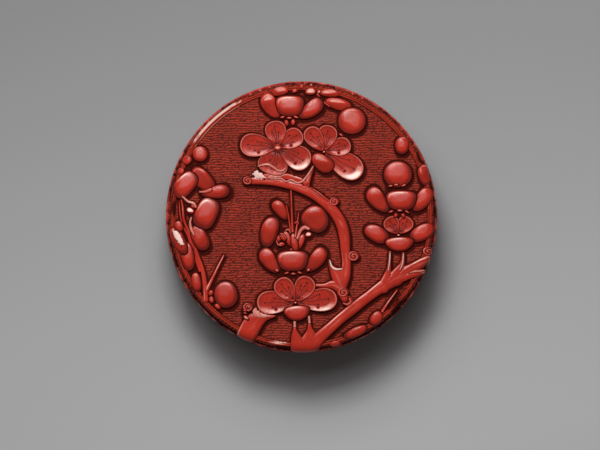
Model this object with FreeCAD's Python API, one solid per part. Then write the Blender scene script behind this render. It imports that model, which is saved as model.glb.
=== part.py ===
"""A round box of carved red lacquer with a lift-off lid.

Millimetres, +Z up, +Y to the far side, origin at the middle of the foot's underside.
"""
import FreeCAD, Part
import math
import os

# The whole box: the plain band at the mouth is its widest circle
mouth_radius = 38.0
box_height = 30.0
base_height = 15.4

# Lacquer coat: the carved ground lies below the bands and the carving by the carving's depth
carving_depth = 1.1
coat_under_ground = 0.9
mouth_band_height = 1.6
mouth_band_slope = 0.5
border_line_inset = 1.3
border_line_height = 0.3
border_line_slope = 0.25
shoulder_drop = 1.6
base_turn_radius = 2.2
foot_height = 1.0
foot_width = 2.4

# Turned wooden cores, black lacquer skins and the collar that the lid fits over
base_core_wall = 1.8
base_core_floor = 2.0
lid_core_ceiling = 1.8
lining_thickness = 0.4
underside_thickness = 0.5
collar_thickness = 1.1
collar_rise = 3.4
lid_fit_clearance = 0.25

# Carved shapes: how far one that passes the border hangs down, and how finely each kind is cut
edge_drop = 1.6
shoulder_steps = 2
base_turn_steps = 2
oval_sides = 10
edge_oval_sides = 8
overrun = 2.0

# Four corners count as lying in one plane when the cosine of the lean of a side is under this
flatness = 1e-6

# Radii and heights that follow from the sizes above
ground_radius = mouth_radius - carving_depth
core_radius = ground_radius - coat_under_ground
base_room_radius = core_radius - base_core_wall
lid_lining_radius = base_room_radius + lid_fit_clearance + lining_thickness
foot_radius = ground_radius - base_turn_radius
foot_inner_radius = foot_radius - foot_width
core_bottom = foot_height + coat_under_ground
floor_top = core_bottom + base_core_floor + lining_thickness
ground_top = box_height - carving_depth
core_top = ground_top - coat_under_ground
border_radius = ground_radius - border_line_inset
border_foot = border_radius - border_line_slope

# Carved shapes on the lid, as shares of the mouth radius from the lid's middle, with angles in degrees.
# An open flower is its heart's x and y, then each petal's direction, and its tip's reach and its width.
open_flower_shares = {
    "lid_open_flower_upper_left": ((-0.175, 0.505), (
        (174, 0.280, 0.165),
        (97, 0.200, 0.150),
        (32, 0.210, 0.140),
        (-26, 0.265, 0.175),
        (-106, 0.205, 0.215))),
    "lid_open_flower_upper_right": ((0.165, 0.475), (
        (125, 0.215, 0.130),
        (79, 0.200, 0.140),
        (17, 0.205, 0.130),
        (-31, 0.325, 0.180),
        (-96, 0.155, 0.155))),
    "lid_open_flower_lower": ((-0.045, -0.630), (
        (127, 0.215, 0.140),
        (60, 0.215, 0.145),
        (180, 0.285, 0.165),
        (6, 0.310, 0.165),
        (-84, 0.135, 0.190))),
    "lid_open_flower_right": ((0.710, -0.135), (
        (131, 0.165, 0.110),
        (53, 0.165, 0.110),
        (176, 0.260, 0.140),
        (4, 0.255, 0.135),
        (-86, 0.115, 0.200))),
}
heart_gap_share = 0.03

# Petals and buds seen from the side: each oval's x, y, length, width and angle
oval_shares = {
    "lid_cup_flower_top": (
        (-0.085, 0.810, 0.205, 0.135, 0),
        (-0.210, 0.800, 0.180, 0.105, 120),
        (0.070, 0.790, 0.205, 0.105, 35)),
    "lid_cup_flower_middle": (
        (-0.065, -0.320, 0.230, 0.155, 0),
        (-0.225, -0.325, 0.200, 0.110, 125),
        (0.100, -0.310, 0.205, 0.110, 50)),
    "lid_cup_flower_right": (
        (0.730, 0.120, 0.220, 0.140, 0),
        (0.565, 0.125, 0.205, 0.120, 128),
        (0.880, 0.125, 0.190, 0.105, 55)),
    "lid_hanging_flower": (
        (-0.160, 0.045, 0.150, 0.080, 118),
        (-0.220, -0.110, 0.230, 0.135, 78),
        (0.100, -0.030, 0.215, 0.175, 140)),
    "lid_side_flower_left": (
        (-0.600, 0.185, 0.140, 0.095, 10),
        (-0.700, 0.020, 0.220, 0.155, 62),
        (-0.735, -0.155, 0.170, 0.125, 100)),
    "lid_edge_petals_left": (
        (-0.850, 0.235, 0.190, 0.140, 55),
        (-0.730, 0.275, 0.160, 0.110, 125),
        (-0.900, -0.175, 0.220, 0.095, 112),
        (-0.835, -0.290, 0.220, 0.105, 100)),
    "lid_edge_petals_top": (
        (-0.160, 0.915, 0.135, 0.060, 12),
        (0.240, 0.875, 0.200, 0.085, -15)),
    "lid_round_buds": (
        (0.370, 0.715, 0.190, 0.185, 0),
        (0.710, 0.320, 0.205, 0.185, 0),
        (-0.555, -0.575, 0.200, 0.175, 100)),
    "lid_small_buds": (
        (-0.750, 0.465, 0.110, 0.110, 0),
        (0.735, 0.520, 0.125, 0.125, 0),
        (0.895, 0.310, 0.150, 0.090, 105),
        (-0.770, -0.480, 0.150, 0.075, 100),
        (0.545, -0.745, 0.125, 0.090, 45),
        (0.395, -0.845, 0.190, 0.080, 25)),
}

# Branches and stems: each strand's stations as x, y and width
branch_shares = {
    "lid_arching_branch": (
        ((-0.390, 0.265, 0.060), (-0.235, 0.262, 0.065), (-0.070, 0.235, 0.075), (0.055, 0.190, 0.080),
         (0.160, 0.125, 0.090), (0.245, 0.035, 0.095), (0.310, -0.075, 0.110), (0.335, -0.190, 0.125),
         (0.320, -0.325, 0.125), (0.295, -0.445, 0.105), (0.290, -0.555, 0.075), (0.330, -0.615, 0.060)),
        ((0.085, 0.360, 0.020), (0.055, 0.295, 0.030), (0.030, 0.190, 0.045)),
        ((0.205, -0.315, 0.020), (0.240, -0.375, 0.045), (0.290, -0.420, 0.065)),
        ((0.115, -0.500, 0.045), (0.195, -0.510, 0.065), (0.290, -0.530, 0.065))),
    "lid_lower_branch": (
        ((0.055, -0.885, 0.160), (0.150, -0.820, 0.100), (0.290, -0.710, 0.095), (0.475, -0.570, 0.095),
         (0.580, -0.510, 0.105), (0.680, -0.450, 0.125), (0.800, -0.395, 0.095), (0.895, -0.340, 0.080)),
        ((0.640, -0.470, 0.060), (0.640, -0.360, 0.035), (0.645, -0.260, 0.020)),
        ((0.695, -0.430, 0.060), (0.735, -0.330, 0.035), (0.745, -0.265, 0.020))),
    "lid_broken_branch": (
        ((-0.410, -0.840, 0.150), (-0.350, -0.780, 0.150), (-0.285, -0.740, 0.110), (-0.160, -0.715, 0.050)),),
    "lid_left_stems": (
        ((-0.830, 0.105, 0.030), (-0.815, -0.080, 0.030), (-0.770, -0.260, 0.030), (-0.715, -0.450, 0.035),
         (-0.705, -0.560, 0.035)),
        ((-0.570, -0.285, 0.020), (-0.640, -0.415, 0.022), (-0.705, -0.540, 0.030))),
    "lid_middle_stem": (
        ((-0.080, 0.225, 0.020), (-0.070, 0.035, 0.020), (-0.065, -0.155, 0.035), (-0.065, -0.260, 0.060)),),
    "lid_lower_stems": (
        ((-0.050, -0.770, 0.020), (-0.045, -0.900, 0.030)),
        ((0.058, -0.740, 0.020), (0.080, -0.870, 0.035))),
}

# How high each kind stands, as a share of the carving's depth
branch_height_share = 0.85
stem_height_share = 0.5

# Sections of a shape from its foot up, each as a share of its height and of its size:
# a pillow is rounded over, and a dish has a raised rim about a sunk middle
pillow_shares = ((0, 1), (0.7, 0.86), (1, 0.56))
dish_shares = ((0, 1), (0.8, 0.88), (0.45, 0.62))
petal_taper_share = 0.35
branch_bevel_share = 0.2
stem_bevel_share = 0.3

# The order in which shapes lie over each other, from the front: a later one is cut by those before it
front_order = (
    "lid_open_flower_upper_left",
    "lid_open_flower_upper_right",
    "lid_open_flower_lower",
    "lid_cup_flower_middle",
    "lid_cup_flower_top",
    "lid_cup_flower_right",
    "lid_open_flower_right",
    "lid_round_buds",
    "lid_side_flower_left",
    "lid_edge_petals_left",
    "lid_edge_petals_top",
    "lid_small_buds",
    "lid_hanging_flower",
    "lid_arching_branch",
    "lid_lower_branch",
    "lid_broken_branch",
    "lid_middle_stem",
    "lid_lower_stems",
    "lid_left_stems",
)


def turned(outline):
    """Solid turned about Z from a closed outline of (radius, height) points."""
    corners = [FreeCAD.Vector(radius, 0, height) for radius, height in outline]
    face = Part.Face(Part.makePolygon(corners + corners[:1]))
    return face.revolve(FreeCAD.Vector(0, 0, 0), FreeCAD.Vector(0, 0, 1), 360)


def rounding(centre, width, height, degrees, steps):
    """Points along a quarter of an oval from the first angle to the last, cut in even steps."""
    points = []
    for step in range(steps + 1):
        turn = math.radians(degrees[0] + (degrees[1] - degrees[0]) * step / steps)
        points.append((centre[0] + width * math.cos(turn), centre[1] + height * math.sin(turn)))
    return points


def base_core():
    """Turned wooden dish inside the base's coat."""
    return turned([
        (0, core_bottom),
        (core_radius, core_bottom),
        (core_radius, base_height),
        (base_room_radius, base_height),
        (base_room_radius, core_bottom + base_core_floor),
        (0, core_bottom + base_core_floor),
    ])


def base_coat():
    """Red coat on the base: mouth band, carved side, turned-in lower edge and foot."""
    band_bottom = base_height - mouth_band_height
    turn_centre = (foot_radius, foot_height + base_turn_radius)
    return turned([
        (foot_radius, 0),
        (foot_inner_radius, 0),
        (foot_inner_radius, core_bottom),
        (core_radius, core_bottom),
        (core_radius, base_height),
        (mouth_radius, base_height),
        (mouth_radius, band_bottom),
        (ground_radius, band_bottom - mouth_band_slope),
        *rounding(turn_centre, base_turn_radius, base_turn_radius, (0, -90), base_turn_steps),
    ])


def base_lining():
    """Black lacquer skin on the base's floor."""
    return turned([
        (0, floor_top - lining_thickness),
        (base_room_radius, floor_top - lining_thickness),
        (base_room_radius, floor_top),
        (0, floor_top),
    ])


def base_collar():
    """Thin sleeve that stands on the base's floor and rises out of its mouth, for the lid to slide over."""
    inner_radius = base_room_radius - collar_thickness
    return turned([
        (inner_radius, floor_top),
        (base_room_radius, floor_top),
        (base_room_radius, base_height + collar_rise),
        (inner_radius, base_height + collar_rise),
    ])


def base_underside():
    """Black lacquer disc that lies sunk inside the foot."""
    return turned([
        (0, core_bottom - underside_thickness),
        (foot_inner_radius, core_bottom - underside_thickness),
        (foot_inner_radius, core_bottom),
        (0, core_bottom),
    ])


def lid_core():
    """Turned wooden cap inside the lid's coat."""
    ceiling = core_top - lid_core_ceiling
    return turned([
        (0, core_top),
        (core_radius, core_top),
        (core_radius, base_height),
        (lid_lining_radius, base_height),
        (lid_lining_radius, ceiling),
        (0, ceiling),
    ])


def lid_outline():
    """The lid's outer surface from its middle to the side: ground, border line and rounded shoulder."""
    line_top = ground_top + border_line_height
    shoulder_centre = (border_radius, line_top - shoulder_drop)
    return [
        (0, ground_top),
        (border_foot, ground_top),
        *rounding(shoulder_centre, border_line_inset, shoulder_drop, (90, 0), shoulder_steps),
    ]


def lid_coat():
    """Red coat on the lid, from the flat ground down to the mouth band."""
    band_top = base_height + mouth_band_height
    return turned([
        *lid_outline(),
        (ground_radius, band_top + mouth_band_slope),
        (mouth_radius, band_top),
        (mouth_radius, base_height),
        (core_radius, base_height),
        (core_radius, core_top),
        (0, core_top),
    ])


def lid_lining():
    """Black lacquer skin inside the lid, down to the mouth."""
    skin_top = core_top - lid_core_ceiling
    inner_radius = lid_lining_radius - lining_thickness
    return turned([
        (0, skin_top),
        (lid_lining_radius, skin_top),
        (lid_lining_radius, base_height),
        (inner_radius, base_height),
        (inner_radius, skin_top - lining_thickness),
        (0, skin_top - lining_thickness),
    ])


def lid_blank():
    """Everything under the lid's outer surface, to cut from what lies on it."""
    low = ground_top - shoulder_drop - edge_drop - overrun
    return turned([*lid_outline(), (ground_radius, low), (0, low)])


def flat_faced(rings):
    """Solid with flat faces through rings of equally many corners, from its foot ring up."""
    faces = []
    for lower, upper in zip(rings, rings[1:]):
        for i in range(len(lower)):
            corners = (lower[i - 1], lower[i], upper[i], upper[i - 1])
            across = (corners[2] - corners[0]).cross(corners[3] - corners[1]).normalize()
            side = (corners[1] - corners[0]).normalize()
            if abs(across.dot(side)) < flatness:
                faces.append(flat_face(corners))
            else:
                faces.append(flat_face(corners[:3]))
                faces.append(flat_face((corners[0], corners[2], corners[3])))
    faces.append(flat_face(rings[0]))
    faces.append(flat_face(rings[-1]))
    solid = Part.Solid(Part.Shell(faces))
    if solid.Volume < 0:
        solid.reverse()
    return solid


def flat_face(corners):
    """Flat face with these corners."""
    return Part.Face(Part.makePolygon([*corners, corners[0]]))


def oval_ring(place, z, size_share, taper_share):
    """Corners of an oval at height z; a taper makes its near end the narrower."""
    x, y, length, width, angle = place
    turn = math.radians(angle)
    crosses = math.hypot(x, y) + length / 2 > border_foot
    sides = edge_oval_sides if crosses else oval_sides
    ring = []
    for side in range(sides):
        around = 2 * math.pi * (side + 1 / 2) / sides
        along = length / 2 * size_share * math.cos(around)
        across = width / 2 * size_share * math.sin(around) * (1 + taper_share * math.cos(around))
        ring.append(FreeCAD.Vector(
            x + along * math.cos(turn) - across * math.sin(turn),
            y + along * math.sin(turn) + across * math.cos(turn),
            z))
    return ring


def seated(rings):
    """Solid through these rings, cut to the lid's surface where its foot crosses the border line."""
    foot = rings[0]
    if max(math.hypot(corner.x, corner.y) for corner in foot) <= border_foot:
        return flat_faced(rings)
    hang = FreeCAD.Vector(0, 0, edge_drop)
    return flat_faced([[corner - hang for corner in foot], *rings]).cut(blank)


def oval(place, section_shares, taper_share=0):
    """Carved oval on the lid's ground, through sections given from its foot up."""
    rings = []
    for height_share, size_share in section_shares:
        z = ground_top + height_share * carving_depth
        rings.append(oval_ring(place, z, size_share, taper_share))
    return seated(rings)


def strand(stations, height, bevel_share):
    """Tapering ridge through stations of x, y and width, standing on the lid's ground."""
    sides = [[], [], [], []]
    for i, (x, y, width) in enumerate(stations):
        before = stations[max(i - 1, 0)]
        after = stations[min(i + 1, len(stations) - 1)]
        run = math.hypot(after[0] - before[0], after[1] - before[1])
        side = FreeCAD.Vector(before[1] - after[1], after[0] - before[0], 0) * (width / 2 / run)
        top_side = side * (1 - 2 * bevel_share)
        foot = FreeCAD.Vector(x, y, ground_top)
        top = FreeCAD.Vector(x, y, ground_top + height)
        for row, corner in zip(sides, (foot + side, foot - side, top + top_side, top - top_side)):
            row.append(corner)
    foot_left, foot_right, top_left, top_right = sides
    return seated([foot_left + foot_right[::-1], top_left + top_right[::-1]])


def joined(shapes):
    """One shape of all that touch, without the seams between them."""
    if len(shapes) == 1:
        return shapes[0]
    return shapes[0].multiFuse(shapes[1:]).removeSplitter()


def sized(shares):
    """Shares of the mouth radius as lengths."""
    return [share * mouth_radius for share in shares]


def open_flower(heart_shares, petals):
    """Flower seen from the front: dished petals about its heart."""
    heart = sized(heart_shares)
    shapes = []
    for direction, *petal_shares in petals:
        tip, width, gap = sized([*petal_shares, heart_gap_share])
        turn = math.radians(direction)
        x = heart[0] + (tip + gap) / 2 * math.cos(turn)
        y = heart[1] + (tip + gap) / 2 * math.sin(turn)
        shapes.append(oval((x, y, tip - gap, width, direction), dish_shares, petal_taper_share))
    return joined(shapes)


def ovals(table):
    """Rounded petals and buds of one group."""
    return joined([oval((*sized(shares), angle), pillow_shares) for *shares, angle in table])


def branch(table, height_share, bevel_share):
    """Branch of one or more strands that run into each other."""
    shapes = []
    for strand_shares in table:
        stations = [tuple(sized(station)) for station in strand_shares]
        shapes.append(strand(stations, height_share * carving_depth, bevel_share))
    return joined(shapes)


def carved_shape(name):
    """The carved shape of this name, before its neighbours in front cut it."""
    if name in open_flower_shares:
        return open_flower(*open_flower_shares[name])
    if name in oval_shares:
        return ovals(oval_shares[name])
    if name.endswith(("stem", "stems")):
        return branch(branch_shares[name], stem_height_share, stem_bevel_share)
    return branch(branch_shares[name], branch_height_share, branch_bevel_share)


def behind(shape, in_front):
    """The shape without what the shapes in front of it cover."""
    for other in in_front:
        if shape.BoundBox.intersect(other.BoundBox):
            shape = shape.cut(other)
    return shape


blank = lid_blank()
pieces = {
    "base_core": base_core(),
    "base_coat": base_coat(),
    "base_lining": base_lining(),
    "base_collar": base_collar(),
    "base_underside": base_underside(),
    "lid_core": lid_core(),
    "lid_coat": lid_coat(),
    "lid_lining": lid_lining(),
}
carved = {}
for name in front_order:
    carved[name] = behind(carved_shape(name), list(carved.values()))
pieces.update(carved)

os.makedirs("parts", exist_ok=True)
for name, shape in pieces.items():
    solids = shape.Solids
    whole = solids[0] if len(solids) == 1 else Part.makeCompound(solids)
    whole.exportStep(f"parts/{name}.step")
    print(name, "solids", len(solids), "volume", round(whole.Volume, 2), "valid", whole.isValid())
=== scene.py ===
"""A round box of carved red lacquer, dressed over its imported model.

Lengths are in millimetres while a shape is worked out, and in metres once it is a mesh.
Carved shapes are given as shares of the mouth radius from the lid's middle, with angles in degrees.
"""

import math

import bmesh
import bpy
import numpy as np
from bpy.props import FloatProperty, FloatVectorProperty, IntProperty, PointerProperty
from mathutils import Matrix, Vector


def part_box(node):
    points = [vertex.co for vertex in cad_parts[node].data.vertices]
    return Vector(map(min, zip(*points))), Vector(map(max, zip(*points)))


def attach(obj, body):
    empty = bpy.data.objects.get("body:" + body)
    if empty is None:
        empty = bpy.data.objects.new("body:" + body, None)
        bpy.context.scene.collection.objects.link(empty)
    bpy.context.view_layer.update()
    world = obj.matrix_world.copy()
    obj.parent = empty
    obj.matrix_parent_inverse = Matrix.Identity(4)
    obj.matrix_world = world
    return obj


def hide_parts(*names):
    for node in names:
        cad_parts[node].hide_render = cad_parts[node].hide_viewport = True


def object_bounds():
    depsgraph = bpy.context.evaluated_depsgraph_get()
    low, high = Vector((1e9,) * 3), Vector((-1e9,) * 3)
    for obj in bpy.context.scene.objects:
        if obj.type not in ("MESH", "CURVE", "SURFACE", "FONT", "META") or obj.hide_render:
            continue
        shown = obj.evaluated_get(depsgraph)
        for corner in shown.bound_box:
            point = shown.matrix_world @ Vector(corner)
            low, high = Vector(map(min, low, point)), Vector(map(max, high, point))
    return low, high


bl_info = {
    "name": "Carved lacquer box",
    "version": (1, 0, 0),
    "blender": (4, 5, 0),
    "location": "View3D > Sidebar > Lacquer Box",
    "description": "Dresses the packed model of a round carved lacquer box",
    "category": "Object",
}

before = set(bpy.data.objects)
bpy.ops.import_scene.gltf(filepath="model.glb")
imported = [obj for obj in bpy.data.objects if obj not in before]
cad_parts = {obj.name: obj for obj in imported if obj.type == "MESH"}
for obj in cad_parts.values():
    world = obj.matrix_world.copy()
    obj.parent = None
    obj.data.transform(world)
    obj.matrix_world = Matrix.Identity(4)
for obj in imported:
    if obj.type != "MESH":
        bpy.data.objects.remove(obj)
cad_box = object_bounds()

MM = 0.001


def high(node, axis):
    """Highest coordinate of a CAD node, in millimetres."""
    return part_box(node)[1][axis] / MM


def low(node, axis):
    """Lowest coordinate of a CAD node, in millimetres."""
    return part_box(node)[0][axis] / MM


# The coats of lid and base: mouth, seam, carving depth, ground, border, shoulder, mouth bands and foot
MOUTH = high("lid_coat", 0)
SEAM = low("lid_coat", 2)
TOP = cad_box[1].z / MM
CORE = high("lid_core", 0)
DEPTH = 1.1
GROUND = MOUTH - DEPTH
GROUND_TOP = TOP - DEPTH
BORDER = GROUND - 1.3
SHOULDER = BORDER - 0.6
SHOULDER_TURN = GROUND - SHOULDER
SHOULDER_FOOT = GROUND_TOP - SHOULDER_TURN
BAND = 1.6
BAND_SLOPE = 0.5
BASE_TURN = 2.2
FOOT_HEIGHT = 1.0
FOOT_RADIUS = GROUND - BASE_TURN
FOOT_INNER = FOOT_RADIUS - 2.4

# The coats' meshes: the sides of lid and base, and the rows to each ripple
LID_SIDES = 640
BASE_SIDES = 480
ROWS_A_RIPPLE = 4

# The parts inside: the collar's wall, the black skin at the mouths, and how far corners are rounded
COLLAR_WALL = 1.1
SKIN = 0.12
CORNER = 0.12
SKIN_CORNER = 0.04

# The rippled ground: how low its level lies, how far the coat lies below it, and its mesh
GROUND_SINK = 0.16
UNDER_GROUND = 0.34
GROUND_ROWS = 450
GROUND_COLUMNS = 265

# Carved shapes: how far they reach down, the gap where one passes another, and the painted shade at their
# foot
SINK = 0.34
CREVICE = 0.06
FOOT_PAINTED_SHADE = -0.6

# Open petals: how they narrow, their gap from the heart as a share of the mouth, their rim and their spot
TAPER = 0.35
HEART_GAP = 0.012
RIM_INSET = 0.22
RIM_WIDTH = 0.13
SPOT_WIDTH = 0.34

# Veins of an open petal: degrees off its middle line and how far along they end; the first end in a dot
VEINS = ((0, 0.78), (12, 0.60), (-12, 0.55), (25, 0.42), (-25, 0.45), (38, 0.3), (-38, 0.3))
DOTTED_VEINS = 3
DOT_WIDTH = 0.27
VEIN_WIDTH = 0.12
VEIN_WANDER = 0.12
RAYS = 26

# Rounded petals: the height of their edge, and the painted highlight and wear, facing and crest of one that
# gives none
PLUMP_EDGE = 0.22
USUAL_PLUMP = (0.0, 90, -0.35)

# Torn bark: curls wider than this share of the mouth have edges as ragged as this
TORN_WIDTH = 0.03
RAGGED = 0.25

# Painted light: the way to the light, and the bearing and half width of the painted highlight on the shoulder
LIT = (-0.45, 0.89)
SHOULDER_HIGHLIGHT = (132, 17)

# The groove round carved shapes, also painted with shade: its width and depth, and how far the painted shadow
# below them is shifted
GROOVE = 0.55
GROOVE_DEPTH = 0.14
PAINTED_SHADOW_SHIFT = (0.20, -0.65)

# The stage: half the floor's width in metres, the sky's light, and the camera's lean and view
FLOOR_HALF = 1.5
SKY = 0.08
CAMERA_LEAN = 0.4
VIEW_WIDTH = 168.2
VIEW_MIDDLE = (-0.44, -2.23)

# Open flowers: the heart, its size, then each dished petal's direction, tip, width and curl of its lower edge
OPEN_FLOWERS = {
    "open_flower_upper_left": ((-0.175, 0.505), 0.026, (
        (174, 0.280, 0.165, 0.9),
        (97, 0.200, 0.150, 0.4),
        (32, 0.210, 0.140, 1.0),
        (-26, 0.265, 0.175, 1.1),
        (-106, 0.205, 0.215, 0.3))),
    "open_flower_upper_right": ((0.165, 0.475), 0.012, (
        (125, 0.215, 0.130, 0.15),
        (79, 0.200, 0.140, 0.2),
        (17, 0.205, 0.130, 1.0),
        (-31, 0.325, 0.180, 1.1))),
    "open_flower_lower": ((-0.045, -0.630), 0.012, (
        (127, 0.215, 0.140, 0.5),
        (60, 0.215, 0.145, 0.2),
        (180, 0.285, 0.165, 1.0),
        (6, 0.310, 0.165, 1.1))),
    "open_flower_right": ((0.710, -0.135), 0.012, (
        (122, 0.152, 0.114, 0.1),
        (58, 0.152, 0.114, 0.1))),
    "sprig_flower_left": ((-0.300, 0.005), 0.020, (
        (90, 0.108, 0.084, 0.5),
        (162, 0.118, 0.086, 0.5),
        (234, 0.108, 0.084, 0.5),
        (306, 0.110, 0.084, 0.5),
        (18, 0.120, 0.086, 0.5))),
    "sprig_flower_right": ((0.185, 0.004), 0.018, (
        (54, 0.114, 0.082, 0.5),
        (126, 0.112, 0.082, 0.5),
        (198, 0.118, 0.084, 0.5),
        (270, 0.104, 0.080, 0.5),
        (342, 0.116, 0.084, 0.5))),
}

# Rounded petals and buds: x, y, length, width, angle, squareness, taper, bend, then painted highlight and
# wear, facing and crest
PLUMP = {
    "open_flower_upper_right": (
        (0.152, 0.396, 0.185, 0.118, 145, 2.3, -0.15, -0.10, 0.45, 78, 0.12),),
    "open_flower_lower": (
        (-0.034, -0.708, 0.115, 0.186, 94, 2.5, 0.30, 0.00, 0.12, 90, -0.60),),
    "open_flower_right": (
        (0.718, -0.203, 0.108, 0.203, 92, 2.5, 0.30, 0.00, 0.10, 90, -0.60),
        (0.548, -0.126, 0.200, 0.125, 152, 2.2, -0.05, 0.00),
        (0.884, -0.117, 0.205, 0.120, 28, 2.2, 0.00, 0.00)),
    "cup_flower_top": (
        (-0.086, 0.811, 0.155, 0.207, 90, 3.0, 0.16, 0.00, 0.22),
        (-0.226, 0.812, 0.205, 0.115, 120, 2.2, 0.25, -0.15, 0.85, 100, 0.45),
        (0.070, 0.788, 0.215, 0.115, 38, 2.2, 0.25, 0.15)),
    "cup_flower_middle": (
        (-0.065, -0.325, 0.155, 0.228, 90, 3.0, 0.16, 0.00),
        (-0.232, -0.325, 0.220, 0.115, 125, 2.2, 0.25, -0.15, 0.0, 100, 0.35),
        (0.105, -0.318, 0.220, 0.115, 52, 2.2, 0.25, 0.15, 0.0, 90, 0.20)),
    "cup_flower_right": (
        (0.732, 0.118, 0.148, 0.222, 90, 3.0, 0.16, 0.00),
        (0.560, 0.122, 0.225, 0.125, 128, 2.2, 0.25, -0.12, 0.0, 100, 0.42),
        (0.885, 0.123, 0.205, 0.115, 55, 2.2, 0.20, 0.12, 0.20, 120, -0.20)),
    "hanging_flower": (
        (-0.155, 0.048, 0.175, 0.092, 126, 2.2, 0.20, 0.10, 0.0, 90, 0.42),
        (-0.236, -0.112, 0.235, 0.132, 74, 2.3, 0.12, -0.10, 0.0, 80, 0.15),
        (0.100, -0.020, 0.215, 0.190, 140, 2.2, 0.10, 0.10, 0.0, 95, 0.45)),
    "side_flower_left": (
        (-0.630, 0.178, 0.215, 0.098, 10, 2.1, 0.45, 0.00, 0.0, 90, 0.10),
        (-0.699, 0.022, 0.238, 0.168, 66, 2.9, 0.00, 0.00, 0.05),
        (-0.746, -0.155, 0.205, 0.122, 116, 2.2, -0.10, 0.00, 0.0, 120, -0.10)),
    "edge_petals_left": (
        (-0.852, 0.231, 0.225, 0.140, 52, 2.6, 0.05, 0.00, 0.08),
        (-0.725, 0.276, 0.215, 0.128, 134, 2.2, 0.00, -0.12, 0.30, 45, 0.45),
        (-0.900, -0.175, 0.230, 0.100, 116, 2.2, 0.00, 0.00, 0.0, 40, 0.10),
        (-0.835, -0.290, 0.220, 0.105, 100, 2.2, 0.00, 0.00)),
    "edge_petals_top": (
        (-0.160, 0.915, 0.135, 0.060, 12, 2.2, 0.00, 0.00, 0.8, 90, 0.10),
        (0.205, 0.902, 0.155, 0.052, -4, 2.1, 0.00, 0.00, 0.9, 90, 0.00),
        (0.268, 0.826, 0.200, 0.088, -14, 2.1, 0.10, 0.10, 0.7, 80, 0.15)),
    "round_buds": (
        (0.368, 0.702, 0.210, 0.202, 0, 2.1, 0.00, 0.00, 0.32, 60),
        (0.705, 0.310, 0.215, 0.200, 0, 2.1, 0.00, 0.00, 0.16),
        (-0.555, -0.572, 0.205, 0.180, 100, 2.1, 0.00, 0.00, 0.0, 120)),
    "small_buds": (
        (-0.744, 0.460, 0.116, 0.118, 0, 2.1, 0.00, 0.00, 0.35, 90, -0.55),
        (0.735, 0.520, 0.110, 0.135, 0, 2.1, 0.00, 0.00, 0.0, 120),
        (0.898, 0.304, 0.165, 0.095, 105, 2.1, 0.00, 0.00, 0.0, 130, 0.40),
        (-0.770, -0.480, 0.150, 0.075, 100, 2.2, 0.00, 0.00),
        (0.545, -0.745, 0.125, 0.085, 50, 2.2, 0.00, 0.00),
        (0.395, -0.845, 0.200, 0.070, 25, 2.2, 0.00, 0.00)),
    "sprig_buds": (
        (0.465, 0.032, 0.080, 0.098, 90, 3.0, 0.16, 0.00),
        (0.402, 0.044, 0.108, 0.056, 125, 2.2, 0.25, -0.15),
        (0.528, 0.044, 0.108, 0.056, 55, 2.2, 0.25, 0.15),
        (-0.028, 0.056, 0.090, 0.082, 60, 2.1, 0.00, 0.00),
        (-0.530, 0.052, 0.092, 0.072, 100, 2.1, 0.00, 0.00),
        (-0.125, -0.022, 0.060, 0.036, 35, 2.1, 0.00, 0.00)),
}
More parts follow.
